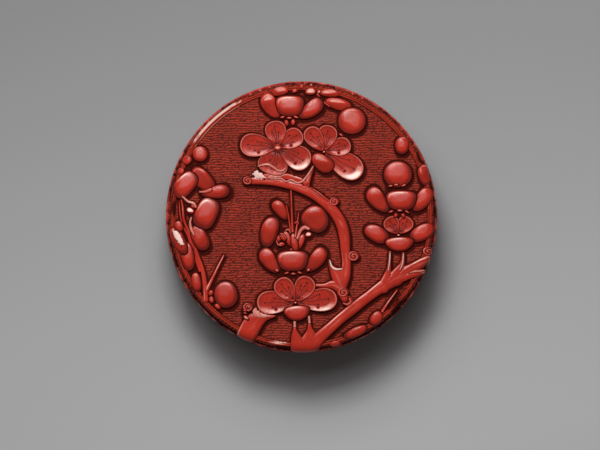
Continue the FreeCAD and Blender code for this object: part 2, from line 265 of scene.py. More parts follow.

# Small beads, lobes and drops: x, y, length, width, angle and how much painted highlight and wear lighten
# them
BEADS = {
    "cup_flower_top": (
        (-0.140, 0.728, 0.046, 0.020, 15, 0.4), (-0.090, 0.722, 0.046, 0.022, 0, 0.4),
        (-0.040, 0.728, 0.046, 0.020, -20, 0.4), (-0.110, 0.685, 0.050, 0.036, 100, 0.0),
        (-0.062, 0.690, 0.050, 0.036, 80, 0.0)),
    "cup_flower_middle": (
        (-0.110, -0.414, 0.044, 0.018, 20, 0.4), (-0.060, -0.420, 0.044, 0.020, 0, 0.4),
        (-0.012, -0.412, 0.044, 0.018, -20, 0.4), (-0.180, -0.395, 0.036, 0.026, -40, 0.5),
        (0.050, -0.392, 0.036, 0.026, 40, 0.5)),
    "cup_flower_right": (
        (0.655, 0.036, 0.046, 0.018, 20, 0.4), (0.720, 0.044, 0.046, 0.022, 0, 0.5),
        (0.774, 0.034, 0.046, 0.018, -35, 0.4), (0.690, 0.008, 0.040, 0.030, 60, 0.0),
        (0.745, 0.006, 0.040, 0.030, 120, 0.0)),
    "hanging_flower": (
        (0.050, -0.132, 0.050, 0.040, 20, 1.3), (-0.150, -0.205, 0.060, 0.036, 10, 0.1),
        (-0.135, -0.150, 0.075, 0.045, 130, 0.1), (-0.052, -0.192, 0.150, 0.062, 100, 0.0),
        (-0.098, -0.165, 0.140, 0.050, 115, 0.0), (-0.005, -0.185, 0.130, 0.050, 70, 0.0),
        (-0.165, -0.160, 0.060, 0.040, 60, 0.2)),
    "side_flower_left": (
        (-0.816, 0.044, 0.064, 0.044, -30, 1.6), (-0.790, 0.075, 0.050, 0.032, -35, 0.3)),
    "edge_petals_left": (
        (-0.898, -0.072, 0.090, 0.066, 110, 0.0), (-0.838, 0.412, 0.080, 0.066, 40, 0.0),
        (-0.880, 0.330, 0.060, 0.040, 60, 0.2)),
    "edge_petals_top": (
        (0.066, 0.915, 0.084, 0.050, 5, 1.1), (0.070, 0.955, 0.024, 0.020, 0, 0.9),
        (0.127, 0.912, 0.032, 0.026, 30, 0.7), (-0.050, 0.920, 0.050, 0.030, 20, 0.2),
        (0.000, 0.950, 0.040, 0.030, 60, 0.3)),
    "round_buds": (
        (0.250, 0.624, 0.042, 0.016, -45, 0.5), (0.290, 0.598, 0.042, 0.018, -35, 0.5),
        (0.330, 0.570, 0.046, 0.016, -25, 0.5), (0.652, 0.224, 0.044, 0.018, 10, 0.5),
        (0.693, 0.232, 0.044, 0.022, 0, 0.5), (0.748, 0.228, 0.048, 0.018, 25, 0.5),
        (-0.665, -0.560, 0.050, 0.040, 60, 0.2), (-0.660, -0.610, 0.055, 0.040, 100, 0.3),
        (-0.615, -0.660, 0.055, 0.036, 140, 0.2)),
    "small_buds": (
        (0.245, -0.930, 0.090, 0.050, 10, 0.2),),
    "broken_branch": (
        (-0.405, -0.742, 0.052, 0.028, -38, 0.8), (-0.412, -0.708, 0.034, 0.016, -15, 0.3),
        (-0.414, -0.690, 0.034, 0.016, -15, 0.3), (-0.387, -0.662, 0.026, 0.016, 20, 1.0)),
    "sprig_buds": (
        (0.438, -0.014, 0.026, 0.018, 20, 0.3), (0.466, -0.018, 0.026, 0.018, 0, 0.3),
        (0.494, -0.014, 0.026, 0.018, -20, 0.3), (-0.044, 0.008, 0.026, 0.018, 10, 0.3),
        (-0.016, 0.008, 0.026, 0.018, -20, 0.3), (-0.544, 0.000, 0.026, 0.018, 20, 0.3),
        (-0.516, 0.000, 0.026, 0.018, -20, 0.3)),
}

# Branches and stems: each strand's stations as x, y and width
BRANCHES = {
    "arching_branch": (
        ((-0.390, 0.262, 0.055), (-0.235, 0.256, 0.058), (-0.080, 0.228, 0.066), (0.050, 0.182, 0.076),
         (0.150, 0.118, 0.080), (0.238, 0.032, 0.084), (0.294, -0.060, 0.090), (0.316, -0.150, 0.086),
         (0.322, -0.240, 0.076), (0.330, -0.350, 0.072), (0.318, -0.440, 0.084), (0.292, -0.535, 0.078),
         (0.315, -0.600, 0.060)),
        ((0.085, 0.360, 0.020), (0.060, 0.295, 0.032), (0.030, 0.200, 0.050)),
        ((0.200, -0.318, 0.012), (0.216, -0.365, 0.036), (0.256, -0.425, 0.088), (0.288, -0.505, 0.100)),
        ((0.107, -0.505, 0.028), (0.169, -0.507, 0.038), (0.226, -0.500, 0.064), (0.285, -0.525, 0.085))),
    "lower_branch": (
        ((0.030, -1.020, 0.180), (0.062, -0.962, 0.140), (0.104, -0.914, 0.106), (0.160, -0.862, 0.090),
         (0.226, -0.803, 0.082), (0.290, -0.746, 0.080), (0.360, -0.690, 0.084), (0.434, -0.630, 0.082),
         (0.500, -0.580, 0.080), (0.570, -0.528, 0.088), (0.650, -0.478, 0.104), (0.735, -0.428, 0.104),
         (0.820, -0.374, 0.075), (0.920, -0.312, 0.062)),
        ((0.600, -0.520, 0.095), (0.626, -0.445, 0.066), (0.641, -0.370, 0.034), (0.648, -0.262, 0.022)),
        ((0.690, -0.455, 0.120), (0.715, -0.400, 0.080), (0.738, -0.345, 0.040), (0.746, -0.270, 0.022)),
        ((-0.012, -1.000, 0.136), (-0.024, -0.940, 0.112), (-0.038, -0.890, 0.080),
         (-0.047, -0.850, 0.046), (-0.050, -0.825, 0.028)),
        ((0.036, -0.985, 0.160), (0.056, -0.920, 0.130), (0.066, -0.868, 0.086), (0.062, -0.832, 0.048),
         (0.058, -0.796, 0.028)),
        ((0.640, -0.484, 0.080), (0.720, -0.455, 0.072), (0.800, -0.428, 0.056), (0.890, -0.408, 0.030))),
    "broken_branch": (
        ((-0.430, -0.950, 0.138), (-0.402, -0.875, 0.148), (-0.372, -0.810, 0.148),
         (-0.345, -0.762, 0.120)),
        ((-0.360, -0.820, 0.120), (-0.318, -0.772, 0.094), (-0.268, -0.742, 0.056),
         (-0.195, -0.730, 0.016))),
    "sprig_branch": (
        ((-0.595, -0.050, 0.030), (-0.490, -0.086, 0.044), (-0.300, -0.097, 0.044), (-0.120, -0.070, 0.040),
         (0.020, -0.086, 0.038), (0.200, -0.099, 0.036), (0.360, -0.082, 0.032), (0.500, -0.094, 0.028),
         (0.590, -0.072, 0.020)),
        ((-0.100, -0.072, 0.030), (-0.048, -0.030, 0.020), (-0.030, 0.010, 0.014)),
        ((-0.490, -0.085, 0.030), (-0.525, -0.040, 0.020), (-0.530, 0.006, 0.014)),
        ((0.400, -0.085, 0.028), (0.455, -0.050, 0.020), (0.466, -0.012, 0.014)),
        ((-0.200, -0.085, 0.026), (-0.165, -0.045, 0.018), (-0.140, -0.030, 0.014))),
}
STEMS = {
    "left_stems": (
        ((-0.885, 0.137, 0.014), (-0.871, 0.068, 0.018), (-0.863, -0.020, 0.020), (-0.836, -0.092, 0.022),
         (-0.806, -0.165, 0.026), (-0.766, -0.275, 0.028), (-0.724, -0.400, 0.034), (-0.708, -0.500, 0.038),
         (-0.700, -0.610, 0.038)),
        ((-0.897, 0.110, 0.010), (-0.890, 0.020, 0.014), (-0.872, -0.060, 0.014), (-0.830, -0.150, 0.016),
         (-0.790, -0.270, 0.018), (-0.745, -0.400, 0.020)),
        ((-0.570, -0.285, 0.016), (-0.630, -0.405, 0.022), (-0.695, -0.540, 0.030))),
    "middle_stem": (
        ((-0.078, 0.210, 0.016), (-0.072, 0.035, 0.016), (-0.065, -0.140, 0.026),
         (-0.062, -0.255, 0.050)),),
    "lower_stems": (
        ((-0.051, -0.755, 0.020), (-0.050, -0.800, 0.020), (-0.046, -0.875, 0.030)),
        ((0.055, -0.735, 0.018), (0.058, -0.780, 0.020), (0.062, -0.835, 0.030))),
}

# How much painted highlight and wear lighten the stems
STEM_HIGHLIGHT_AND_WEAR = {"left_stems": 0.22, "lower_stems": 0.85, "middle_stem": 0.22}

# Curls and torn bark in front of the rest: how much painted highlight and wear lighten each, then its
# stations
CURLS = {
    "open_flower_upper_left": (
        (0.75, ((-0.318, 0.368, 0.012), (-0.280, 0.379, 0.018), (-0.242, 0.381, 0.020),
                (-0.205, 0.360, 0.018), (-0.168, 0.336, 0.018), (-0.138, 0.337, 0.020),
                (-0.116, 0.358, 0.012))),),
    "hanging_flower": (
        (0.5, ((-0.154, -0.126, 0.012), (-0.134, -0.130, 0.014), (-0.112, -0.160, 0.012))),
        (0.5, ((-0.118, -0.105, 0.012), (-0.096, -0.094, 0.014), (-0.082, -0.120, 0.012))),
        (0.5, ((-0.183, -0.180, 0.012), (-0.172, -0.205, 0.014), (-0.150, -0.212, 0.012))),
        (0.3, ((-0.048, -0.048, 0.014), (-0.030, -0.036, 0.014), (-0.024, -0.055, 0.012))),
        (0.6, ((-0.030, -0.160, 0.022), (-0.008, -0.105, 0.026), (0.020, -0.080, 0.030),
               (0.052, -0.090, 0.024))),
        (0.0, ((-0.110, 0.080, 0.012), (-0.092, -0.020, 0.014), (-0.080, -0.120, 0.016))),
        (0.0, ((-0.020, 0.030, 0.012), (-0.036, -0.080, 0.016), (-0.045, -0.150, 0.018)))),
    "side_flower_left": (
        (0.95, ((-0.872, 0.146, 0.014), (-0.834, 0.112, 0.020), (-0.790, 0.096, 0.022),
                (-0.776, 0.070, 0.016))),
        (0.5, ((-0.745, 0.180, 0.018), (-0.705, 0.182, 0.024), (-0.665, 0.196, 0.030))),
        (0.85, ((-0.808, -0.008, 0.012), (-0.817, -0.047, 0.018), (-0.808, -0.094, 0.022),
                (-0.788, -0.135, 0.014)))),
    "edge_petals_left": (
        (1.35, ((-0.934, -0.100, 0.016), (-0.906, -0.143, 0.044), (-0.876, -0.200, 0.030))),),
    "edge_petals_top": (
        (0.2, ((0.118, 0.895, 0.018), (0.150, 0.850, 0.018), (0.205, 0.806, 0.014))),),
    "arching_branch": (
        (0.9, ((0.084, 0.366, 0.012), (0.060, 0.325, 0.016), (0.027, 0.280, 0.018),
               (-0.001, 0.254, 0.018), (-0.039, 0.250, 0.016), (-0.076, 0.270, 0.016),
               (-0.114, 0.257, 0.014), (-0.152, 0.278, 0.014), (-0.227, 0.275, 0.012))),
        (0.45, ((0.060, 0.214, 0.010), (0.131, 0.170, 0.014), (0.190, 0.116, 0.010))),
        (1.3, ((0.206, -0.322, 0.010), (0.223, -0.368, 0.016), (0.253, -0.386, 0.018),
               (0.298, -0.384, 0.012))),
        (1.25, ((-0.337, 0.330, 0.014), (-0.324, 0.308, 0.054), (-0.294, 0.296, 0.036),
                (-0.268, 0.286, 0.012))),
        (1.0, ((-0.246, 0.284, 0.012), (-0.216, 0.297, 0.036), (-0.172, 0.294, 0.036),
               (-0.150, 0.306, 0.012))),
        (0.1, ((-0.325, 0.290, 0.020), (-0.255, 0.293, 0.050), (-0.150, 0.290, 0.030))),
        (0.0, ((-0.160, 0.290, 0.030), (-0.110, 0.292, 0.052), (-0.055, 0.278, 0.050),
               (-0.010, 0.268, 0.040), (0.030, 0.240, 0.040)))),
    "lower_branch": (
        (1.15, ((0.648, -0.266, 0.012), (0.644, -0.330, 0.014), (0.634, -0.400, 0.010))),
        (1.15, ((0.746, -0.274, 0.012), (0.740, -0.340, 0.014), (0.720, -0.392, 0.010))),
        (0.8, ((0.790, -0.412, 0.010), (0.840, -0.400, 0.018), (0.895, -0.394, 0.012)))),
    "broken_branch": (
        (1.0, ((-0.345, -0.676, 0.018), (-0.332, -0.704, 0.050), (-0.292, -0.724, 0.040),
               (-0.230, -0.730, 0.012))),),
    "left_stems": (
        (0.2, ((0.700, -0.540, 0.014), (0.630, -0.635, 0.020), (0.580, -0.715, 0.026))),),
}

# Places on the border painted lighter or darker: x, y, half lengths across and up in millimetres, then how
# light; above 0 worn lacquer, below 0 painted shade
CHIPS = (
    (0.880, 0.430, 0.9, 1.0, -3.0),
    (-0.165, -0.922, 2.6, 0.55, 1.5),
    (-0.160, -0.958, 2.8, 0.35, -2.0),
    (0.720, -0.655, 2.4, 2.4, -0.8),
    (-0.930, 0.060, 0.7, 2.0, -1.5),
)

# Knots on the branches: x, y and radius
KNOTS = {
    "arching_branch": ((0.240, 0.111, 0.034), (0.306, -0.555, 0.038), (-0.395, 0.264, 0.034),
                       (0.382, -0.290, 0.040)),
    "lower_branch": ((0.335, -0.616, 0.040), (0.922, -0.254, 0.034)),
    "broken_branch": ((-0.392, -0.664, 0.036),),
    "sprig_branch": ((-0.395, -0.096, 0.024), (0.095, -0.094, 0.022)),
}

# The carved nodes of a side's sprig and of the lid, from the front
SPRIG_ORDER = ("sprig_flower_left", "sprig_flower_right", "sprig_buds", "sprig_branch")
FRONT_ORDER = (
    "open_flower_upper_left", "open_flower_upper_right", "open_flower_lower", "cup_flower_middle",
    "cup_flower_top", "cup_flower_right", "open_flower_right", "round_buds", "side_flower_left",
    "edge_petals_left", "edge_petals_top", "small_buds", "hanging_flower", "arching_branch",
    "lower_branch", "broken_branch", "middle_stem", "lower_stems", "left_stems",
)


# Numbers over a plane

def uneven(x, y, size, seed):
    """Smooth unevenness from about -1 to 1, in waves of about this size."""
    draw = np.random.default_rng(seed)
    total = 0
    for _ in range(5):
        angle, phase, stretch = draw.uniform(0, math.tau), draw.uniform(0, math.tau), draw.uniform(0.7, 1.6)
        along = x * math.cos(angle) + y * math.sin(angle)
        total = total + np.sin(along * math.tau * stretch / size + phase)
    return total / 3


def bell(value, middle, width):
    """1 where the value is at the middle, falling towards 0 on both sides over about this width."""
    return np.exp(-((value - middle) / width) ** 2)


def step_up(value, start, end):
    """0 below start and 1 above end, rising smoothly between them."""
    share = np.clip((value - start) / (end - start), 0, 1)
    return share * share * (3 - 2 * share)


def local(x, y, place):
    """Place along and across an oval, each from -1 to 1."""
    middle_x, middle_y, length, width, angle = place
    turn = math.radians(angle)
    along = ((x - middle_x) * math.cos(turn) + (y - middle_y) * math.sin(turn)) / (length / 2)
    across = ((y - middle_y) * math.cos(turn) - (x - middle_x) * math.sin(turn)) / (width / 2)
    return along, across


class Carving:
    """One carved shape: how far inside its outline a point lies, and there its height and its painted shade,
    painted highlight and wear.
    """

    def __init__(self, inside, surface, reach):
        self.inside = inside
        self.surface = surface
        self.reach = reach

    def near(self, other):
        """Whether the boxes round the two shapes meet."""
        a, b = self.reach, other.reach
        return a[0] < b[2] and b[0] < a[2] and a[1] < b[3] and b[1] < a[3]


def reach_of(points, margin):
    """Box round these points."""
    points = np.asarray(points)
    return (*(points.min(0) - margin), *(points.max(0) + margin))


def vein_cuts(x, y, direction, tip, knob, seed):
    """How deep a petal is cut at a place from its heart: veins, the dots that end them, a ring and rays. The
    same value paints shade into these cuts.
    """
    cut = 0
    for number, (off, far) in enumerate(VEINS):
        angle = math.radians(direction + off)
        end = far * tip
        along = x * math.cos(angle) + y * math.sin(angle)
        across = y * math.cos(angle) - x * math.sin(angle)
        across = across - VEIN_WANDER * np.sin(along * 1.1 + seed + number)
        line = bell(across, 0, VEIN_WIDTH) * (1 - step_up(along, end - 0.4, end))
        if number < DOTTED_VEINS:
            dot = 1.2 * bell(np.hypot(along - end, across), 0, DOT_WIDTH)
            cut = np.maximum(cut, np.maximum(0.9 * line, dot))
        else:
            cut = np.maximum(cut, 0.6 * line)
    away = np.hypot(x, y)
    rays = np.clip(np.cos(np.arctan2(y, x) * RAYS + seed), 0, 1) * (1 - step_up(away, 1.2, 3.2))
    ring = 0.9 * bell(away, knob + 0.3, 0.25)
    return np.maximum(np.maximum(cut, ring), 0.85 * rays)


def dished_petal(heart, knob, petal, seed):
    """Petal of an open flower: a thin raised rim about a sunk, veined middle, curled up at the lower edge."""
    direction, tip, width, curled = petal[0], petal[1] * MOUTH, petal[2] * MOUTH, petal[3]
    gap = HEART_GAP * MOUTH
    turn = math.radians(direction)
    middle_x = heart[0] + (tip + gap) / 2 * math.cos(turn)
    middle_y = heart[1] + (tip + gap) / 2 * math.sin(turn)
    place = (middle_x, middle_y, tip - gap, width, direction)

    def spread(x, y):
        along, across = local(x, y, place)
        return np.hypot(along, across / np.maximum(1 + TAPER * along, 0.2))

    def inside(x, y):
        return (1 - spread(x, y)) * width / 2

    def surface(x, y):
        q = spread(x, y)
        inward = np.maximum(1 - q, 0) * width / 2
        outward = local(x, y, place)[0]
        across, up = (x - middle_x) / (width / 2), (y - middle_y) / (width / 2)
        lip = curled * np.clip(0.12 * across - up, 0, 1) * step_up(outward, -0.9, -0.4)
        lip = lip * np.clip(0.9 + 0.2 * uneven(x, y, 6, seed), 0, 1.1)
        curl = lip * np.clip((1.35 - inward) / 1.15, 0, 1)
        rim = bell(inward, RIM_INSET, RIM_WIDTH)
        height = 0.40 + 0.14 * up ** 2 + 0.21 * curl + (0.26 - 0.10 * lip) * rim
        height = height - 0.22 * (1 - step_up(inward, 0, 0.15))
        height = height * (0.60 + 0.40 * step_up(outward, -1, -0.45)) + 0.004 * uneven(x, y, 2.8, seed)

        off_spot = np.hypot(x - middle_x - 0.02 * tip, y - middle_y + 0.31 * width)
        spot = min(curled, 1) * bell(off_spot, 0, SPOT_WIDTH)
        cut = np.maximum(vein_cuts(x - heart[0], y - heart[1], direction, tip, knob, seed), 1.3 * spot)
        cut = cut * step_up(0.93 - q, 0, 0.1)
        # Painted light: a highlight on the curled lower edge, the rim lighter as highlight and wear, the
        # lower part lighter, and painted shade on the upper part, near the heart and in the cuts and pit
        bright = 1.6 * lip ** 1.2 * step_up(inward, 0.2, 0.36) * (1 - step_up(inward, 0.95, 1.4))
        painted_lower_light = 0.42 * np.clip(0.25 - 0.9 * up + 0.25 * uneven(x, y, 2.2, seed + 3), 0, 1)
        highlight_and_wear = np.maximum(0.72 * rim * step_up(outward, -0.8, -0.3), np.maximum(bright, painted_lower_light))
        shade = 0.45 * bell(inward, 0.62, 0.22) * np.clip(0.4 + up, 0, 1)
        shade = shade + 0.25 * (1 - step_up(outward, -0.9, -0.2))
        crest = (highlight_and_wear - shade) * (1 - np.clip(1.6 * cut, 0, 1)) - cut
        return DEPTH * height - 0.012 * cut - 0.10 * spot, crest

    reach = tip / 1.5
    return Carving(inside, surface, (middle_x - reach, middle_y - reach, middle_x + reach, middle_y + reach))


def plump(shares, top=0.97):
    """Rounded petal or bud whose top leans gently away from a crest line."""
    place = (*sized(shares[:4]), shares[4])
    power, taper, bend = shares[5:8]
    highlight_and_wear, facing, crest = (*shares[8:], *USUAL_PLUMP[len(shares) - 8:])
    squarish = power > 2.4
    line_width, line_highlight = (0.10, 1.5) if squarish else (0.06, 0.95)
    length, width = place[2], place[3]
    turn, faced = math.radians(place[4]), math.radians(facing)
    wide = math.hypot(length * math.cos(turn), width * math.sin(turn)) / 2
    tall = math.hypot(length * math.sin(turn), width * math.cos(turn)) / 2

    def spread(x, y):
        along, across = local(x, y, place)
        across = (across - bend * (along * along - 0.4)) / np.maximum(1 + taper * along, 0.2)
        return (np.abs(along) ** power + np.abs(across) ** power) ** (1 / power)

    def inside(x, y):
        return (1 - spread(x, y)) * min(length, width) / 2

    def surface(x, y):
        q = np.clip(spread(x, y), 0, 1)
        across, up = (x - place[0]) / wide, (y - place[1]) / tall
        away = np.maximum(np.hypot(across, up), 0.2)
        lit, upward = (LIT[0] * across + LIT[1] * up) / away, up / away
        ahead = across * math.cos(faced) + up * math.sin(faced)
        beside = up * math.cos(faced) - across * math.sin(faced)
        from_crest = ahead - crest - 0.22 * beside ** 2
        fall = 0.088 * tall * (np.sqrt(from_crest ** 2 + 0.01) - 0.1) + 0.020 * wide * beside ** 2
        ridge = np.clip(upward, 0, 1) ** 2
        dome = (1 - q ** (2.9 + 3.4 * ridge + np.minimum(upward, 0))) ** 0.6
        # Painted light: a highlight along the lit edge and on the face ahead of the crest, painted shade on
        # the flanks and below the crest
        line = line_highlight * bell(q, 0.80, line_width) * np.clip(1.6 * lit - 0.4, 0, 1)
        painted_lit_face = (0.05 + highlight_and_wear) * step_up(ahead, crest - 0.05, crest + 0.12) * (1 - step_up(q, 0.62, 0.76))
        painted_flank_shade = 0.60 * step_up(q, 0.44 + 0.38 * ridge, 0.80 + 0.18 * ridge) + 0.4 * step_up(q, 0.90, 1)
        below = 0.32 * (1 - step_up(from_crest, -0.28, 0.0))
        painted_light_and_wear = np.maximum(line, painted_lit_face) - np.maximum(painted_flank_shade * (1 - 0.6 * highlight_and_wear), below)
        return DEPTH * (PLUMP_EDGE + (top - PLUMP_EDGE - fall) * dome), painted_light_and_wear

    half = max(length, width) / 2 * (1 + abs(bend) + abs(taper) / 2)
    return Carving(inside, surface, (place[0] - half, place[1] - half, place[0] + half, place[1] + half))


def smooth_line(stations, parts=8):
    """Points of a smooth line through stations of x, y and width."""
    points = np.asarray(stations, float)
    ends = np.vstack([2 * points[0] - points[1], points, 2 * points[-1] - points[-2]])
    line = []
    for i in range(1, len(ends) - 2):
        a, b, c, d = ends[i - 1:i + 3]
        bow, sway = 2 * a - 5 * b + 4 * c - d, 3 * b - a - 3 * c + d
        for part in range(parts):
            t = part / parts
            line.append(0.5 * (2 * b + (c - a) * t + bow * t ** 2 + sway * t ** 3))
    line.append(points[-1])
    return np.array(line)


def strand(lines, top, seed, edge=0.40, bark=0.0, highlight_and_wear=0.0, ragged=0.0):
    """Tapering ridges along joined lines, steep on their lit side and long on the other."""
    smooth = [smooth_line([sized(station) for station in stations]) for stations in lines]
    pieces = []
    for line in smooth:
        start = 0
        for first, last in zip(line, line[1:]):
            length = math.hypot(last[0] - first[0], last[1] - first[1])
            pieces.append((first, last, length, start))
            start += length

    def nearest(x, y):
        best = np.full(np.shape(x), -np.inf)
        off = np.full(np.shape(x), np.inf)
        side, lit, run = (np.zeros(np.shape(x)) for _ in range(3))
        for (x0, y0, w0), (x1, y1, w1), length, start in pieces:
            ux, uy = (x1 - x0) / length, (y1 - y0) / length
            along = np.clip((x - x0) * ux + (y - y0) * uy, 0, length)
            away_x, away_y = x - x0 - along * ux, y - y0 - along * uy
            half = (w0 + (w1 - w0) * along / length) / 2
            away = np.hypot(away_x, away_y)
            best = np.maximum(best, half - away)
            better = away / half < off
            off = np.where(better, away / half, off)
            side = np.where(better, np.sign(ux * away_y - uy * away_x) * away / half, side)
            lit = np.where(better, (LIT[0] * away_x + LIT[1] * away_y) / np.maximum(away, 1e-6), lit)
            run = np.where(better, start + along, run)
        return best, side, run, lit

    def inside(x, y):
        value = nearest(x, y)[0]
        return value + ragged * (uneven(x, y, 1.1, seed) - 0.3) if ragged else value

    def surface(x, y):
        best, side, run, lit = nearest(x, y)
        off = np.minimum(np.abs(side), 1)
        crest = (1 - off ** (3.1 + 1.7 * lit)) ** 0.6
        ribs, middle = 0, 0
        if bark:
            ribs = bark * (uneven(run * 0.35, side * 2.2, 1.5, seed) + 0.4 * uneven(x, y, 0.9, seed + 1))
            patches = np.clip(0.7 + 0.5 * uneven(run, side, 7, seed + 2), 0, 1)
            # Painted highlight along the middle of a branch's top, in patches
            middle = 0.42 * (1 - step_up(off, 0, 0.5)) * patches
        # Painted highlight along the lit edge, painted shade on the far flank and at both edges; the
        # highlight and wear value lightens the whole
        line = 1.45 * bell(best, 0.34, 0.17) * np.clip(1.4 * lit, 0, 1)
        line = line * np.clip(0.70 + 0.6 * uneven(run, 0, 9, seed), 0, 1)
        painted_flank_shade = 0.58 * step_up(off, 0.34, 0.85) * np.clip(0.8 - lit, 0, 1)
        painted_light_and_wear = np.maximum(np.maximum(highlight_and_wear, middle), line)
        painted_light_and_wear = painted_light_and_wear - (painted_flank_shade + 0.6 * step_up(off, 0.86, 1)) * (1 - highlight_and_wear)
        return DEPTH * (edge * top + (top - edge * top) * crest + ribs * crest), painted_light_and_wear

    stations = np.concatenate(smooth)
    return Carving(inside, surface, reach_of(stations[:, :2], stations[:, 2].max() / 2 + ragged))


def knot(shares, top):
    """Round knot of raised rings."""
    x0, y0, radius = (share * MOUTH for share in shares)

    def away(x, y):
        return np.hypot(x - x0, (y - y0) * 1.12) / radius

    def inside(x, y):
        return (1 - away(x, y)) * radius

    def surface(x, y):
        q = away(x, y)
        rings = np.cos(q * math.pi * 3.4 + np.arctan2(y - y0, x - x0))
        height = top - 0.06 + 0.16 * rings * np.clip(1.15 - q, 0, 1) - 0.10 * q ** 4
        # The raised rings are painted lighter and the grooves between them painted with shade
        return DEPTH * height, 0.7 * rings - 0.1

    return Carving(inside, surface, (x0 - radius, y0 - radius, x0 + radius, y0 + radius))


def heart_knob(shares, radius_share):
    """Small oval knob in an open flower's middle, its top painted bright as highlight and wear."""
    x0, y0 = sized(shares)
    radius = radius_share * MOUTH

    def away(x, y):
        return np.hypot(x - x0, (y - y0) * 1.5) / radius

    def inside(x, y):
        return (1 - away(x, y)) * radius

    def surface(x, y):
        q = np.minimum(away(x, y), 1)
        return DEPTH * (0.45 + 0.40 * np.sqrt(1 - q ** 2.6)), 1.4 * (1 - q)

    return Carving(inside, surface, (x0 - radius, y0 - radius, x0 + radius, y0 + radius))


def sized(shares):
    """Shares of the mouth radius as millimetres."""
    return tuple(share * MOUTH for share in shares)


def shapes_of(name):
    """The carved shapes of one node, from the front."""
    seed = (FRONT_ORDER + SPRIG_ORDER).index(name) * 20
    shapes = []
    for number, (highlight_and_wear, stations) in enumerate(CURLS.get(name, ())):
        torn = max(width for _, _, width in stations) > TORN_WIDTH
        ragged = RAGGED if torn else 0
        shapes.append(strand([stations], 0.80, seed + number, 0.5, highlight_and_wear=highlight_and_wear, ragged=ragged))
    for *shares, highlight_and_wear in BEADS.get(name, ()):
        shapes.append(plump((*shares, 2.1, 0, 0, highlight_and_wear), 0.8))
    if name in OPEN_FLOWERS:
        shapes.append(heart_knob(*OPEN_FLOWERS[name][:2]))
    shapes += [plump(shares) for shares in PLUMP.get(name, ())]
    if name in OPEN_FLOWERS:
        middle, knob, petals = OPEN_FLOWERS[name]
        for number, petal in enumerate(petals):
            shapes.append(dished_petal(sized(middle), knob * MOUTH, petal, seed + number))
    shapes += [knot(shares, 0.85) for shares in KNOTS.get(name, ())]
    if name in BRANCHES:
        shapes.append(strand(BRANCHES[name], 0.85, seed, bark=0.014))
    if name in STEMS:
        shapes.append(strand(STEMS[name], 0.60, seed, highlight_and_wear=STEM_HIGHLIGHT_AND_WEAR[name]))
    return shapes


# Meshes

def over_lid(x, y, rise):
    """Points on the lid at this height above the ground, which turns over the shoulder and down the side."""
    out = np.hypot(x, y)
    turn = np.clip((out - SHOULDER) / SHOULDER_TURN, 0, math.pi / 2)
    beyond = np.clip(out - SHOULDER - SHOULDER_TURN * math.pi / 2, 0, None)
    radius = np.minimum(out, SHOULDER) + (SHOULDER_TURN + rise) * np.sin(turn)
    z = SHOULDER_FOOT + (SHOULDER_TURN + rise) * np.cos(turn) - beyond
    scale = radius / np.maximum(out, 1e-6)
    return np.stack([x * scale, y * scale, z], -1)


def flat(x, y, rise):
    """Points on a flat sheet, to be bent later."""
    return np.stack([x, y, rise + 0 * x], -1)


def carve(shape, fronts, step, lay):
    """Points, faces and shading values of one carved shape, cut by the shapes in front of it."""
    fronts = [front for front in fronts if front.near(shape)]

    def inside(x, y):
        value = shape.inside(x, y)
        for front in fronts:
            value = np.minimum(value, -front.inside(x, y) - CREVICE)
        return value

    x0, y0, x1, y1 = shape.reach
    columns = np.arange(x0 - 2 * step, x1 + 3 * step, step)
    rows = np.arange(y0 - 2 * step, y1 + 3 * step, step)
    x, y = np.meshgrid(columns, rows, indexing="ij")
    deep = inside(x, y) > 0.4 * step
    cells = deep[:-1, :-1] | deep[1:, :-1] | deep[:-1, 1:] | deep[1:, 1:]
    if not cells.any():
        return None
    used = np.zeros(x.shape, bool)
    for across in (slice(None, -1), slice(1, None)):
        for up in (slice(None, -1), slice(1, None)):
            used[across, up] |= cells
    edge = used & ~deep
    x[edge], y[edge] = drawn_to_outline(inside, x[edge], y[edge], step)

    index = np.full(x.shape, -1)
    index[used] = np.arange(used.sum())
    quads = np.stack([index[:-1, :-1], index[1:, :-1], index[1:, 1:], index[:-1, 1:]], -1)[cells]
    x, y = x[used], y[used]
    rise, crest = shape.surface(x, y)

    directed = np.concatenate([quads[:, [i, (i + 1) % 4]] for i in range(4)])
    count = len(x)
    keys = directed[:, 0] * count + directed[:, 1]
    back = directed[:, 1] * count + directed[:, 0]
    rim = directed[~np.isin(keys, back)]
    rim_points = np.unique(rim)
    foot = np.full(count, -1)
    foot[rim_points] = count + np.arange(len(rim_points))
    walls = np.stack([rim[:, 1], rim[:, 0], foot[rim[:, 0]], foot[rim[:, 1]]], -1)
    points = np.concatenate([lay(x, y, rise), lay(x[rim_points], y[rim_points], -SINK)])
    rise = np.concatenate([rise / DEPTH, np.zeros(len(rim_points))])
    # The foot of the walls gets painted shade
    crest = np.concatenate([crest, np.full(len(rim_points), FOOT_PAINTED_SHADE)])
    return points, np.concatenate([quads, walls]), rise, crest


def drawn_to_outline(inside, x, y, step):
    """Points near an outline moved onto it, each by no more than one step."""
    old_x, old_y = x.copy(), y.copy()
    tiny = 0.02
    for _ in range(4):
        value = inside(x, y)
        slope_x = (inside(x + tiny, y) - value) / tiny
        slope_y = (inside(x, y + tiny) - value) / tiny
        pull = value / np.maximum(slope_x ** 2 + slope_y ** 2, 0.1)
        x = np.clip(x - pull * slope_x, old_x - step, old_x + step)
        y = np.clip(y - pull * slope_y, old_y - step, old_y + step)
    return x, y


def joined(parts):
    """One set of points, faces and shading values from several."""
    points, faces, rises, crests, count = [], [], [], [], 0
    for part in parts:
        if part is None:
            continue
        points.append(part[0])
        faces.append(part[1] + count)
        rises.append(part[2])
        crests.append(part[3])
        count += len(part[0])
    return np.concatenate(points), np.concatenate(faces), np.concatenate(rises), np.concatenate(crests)


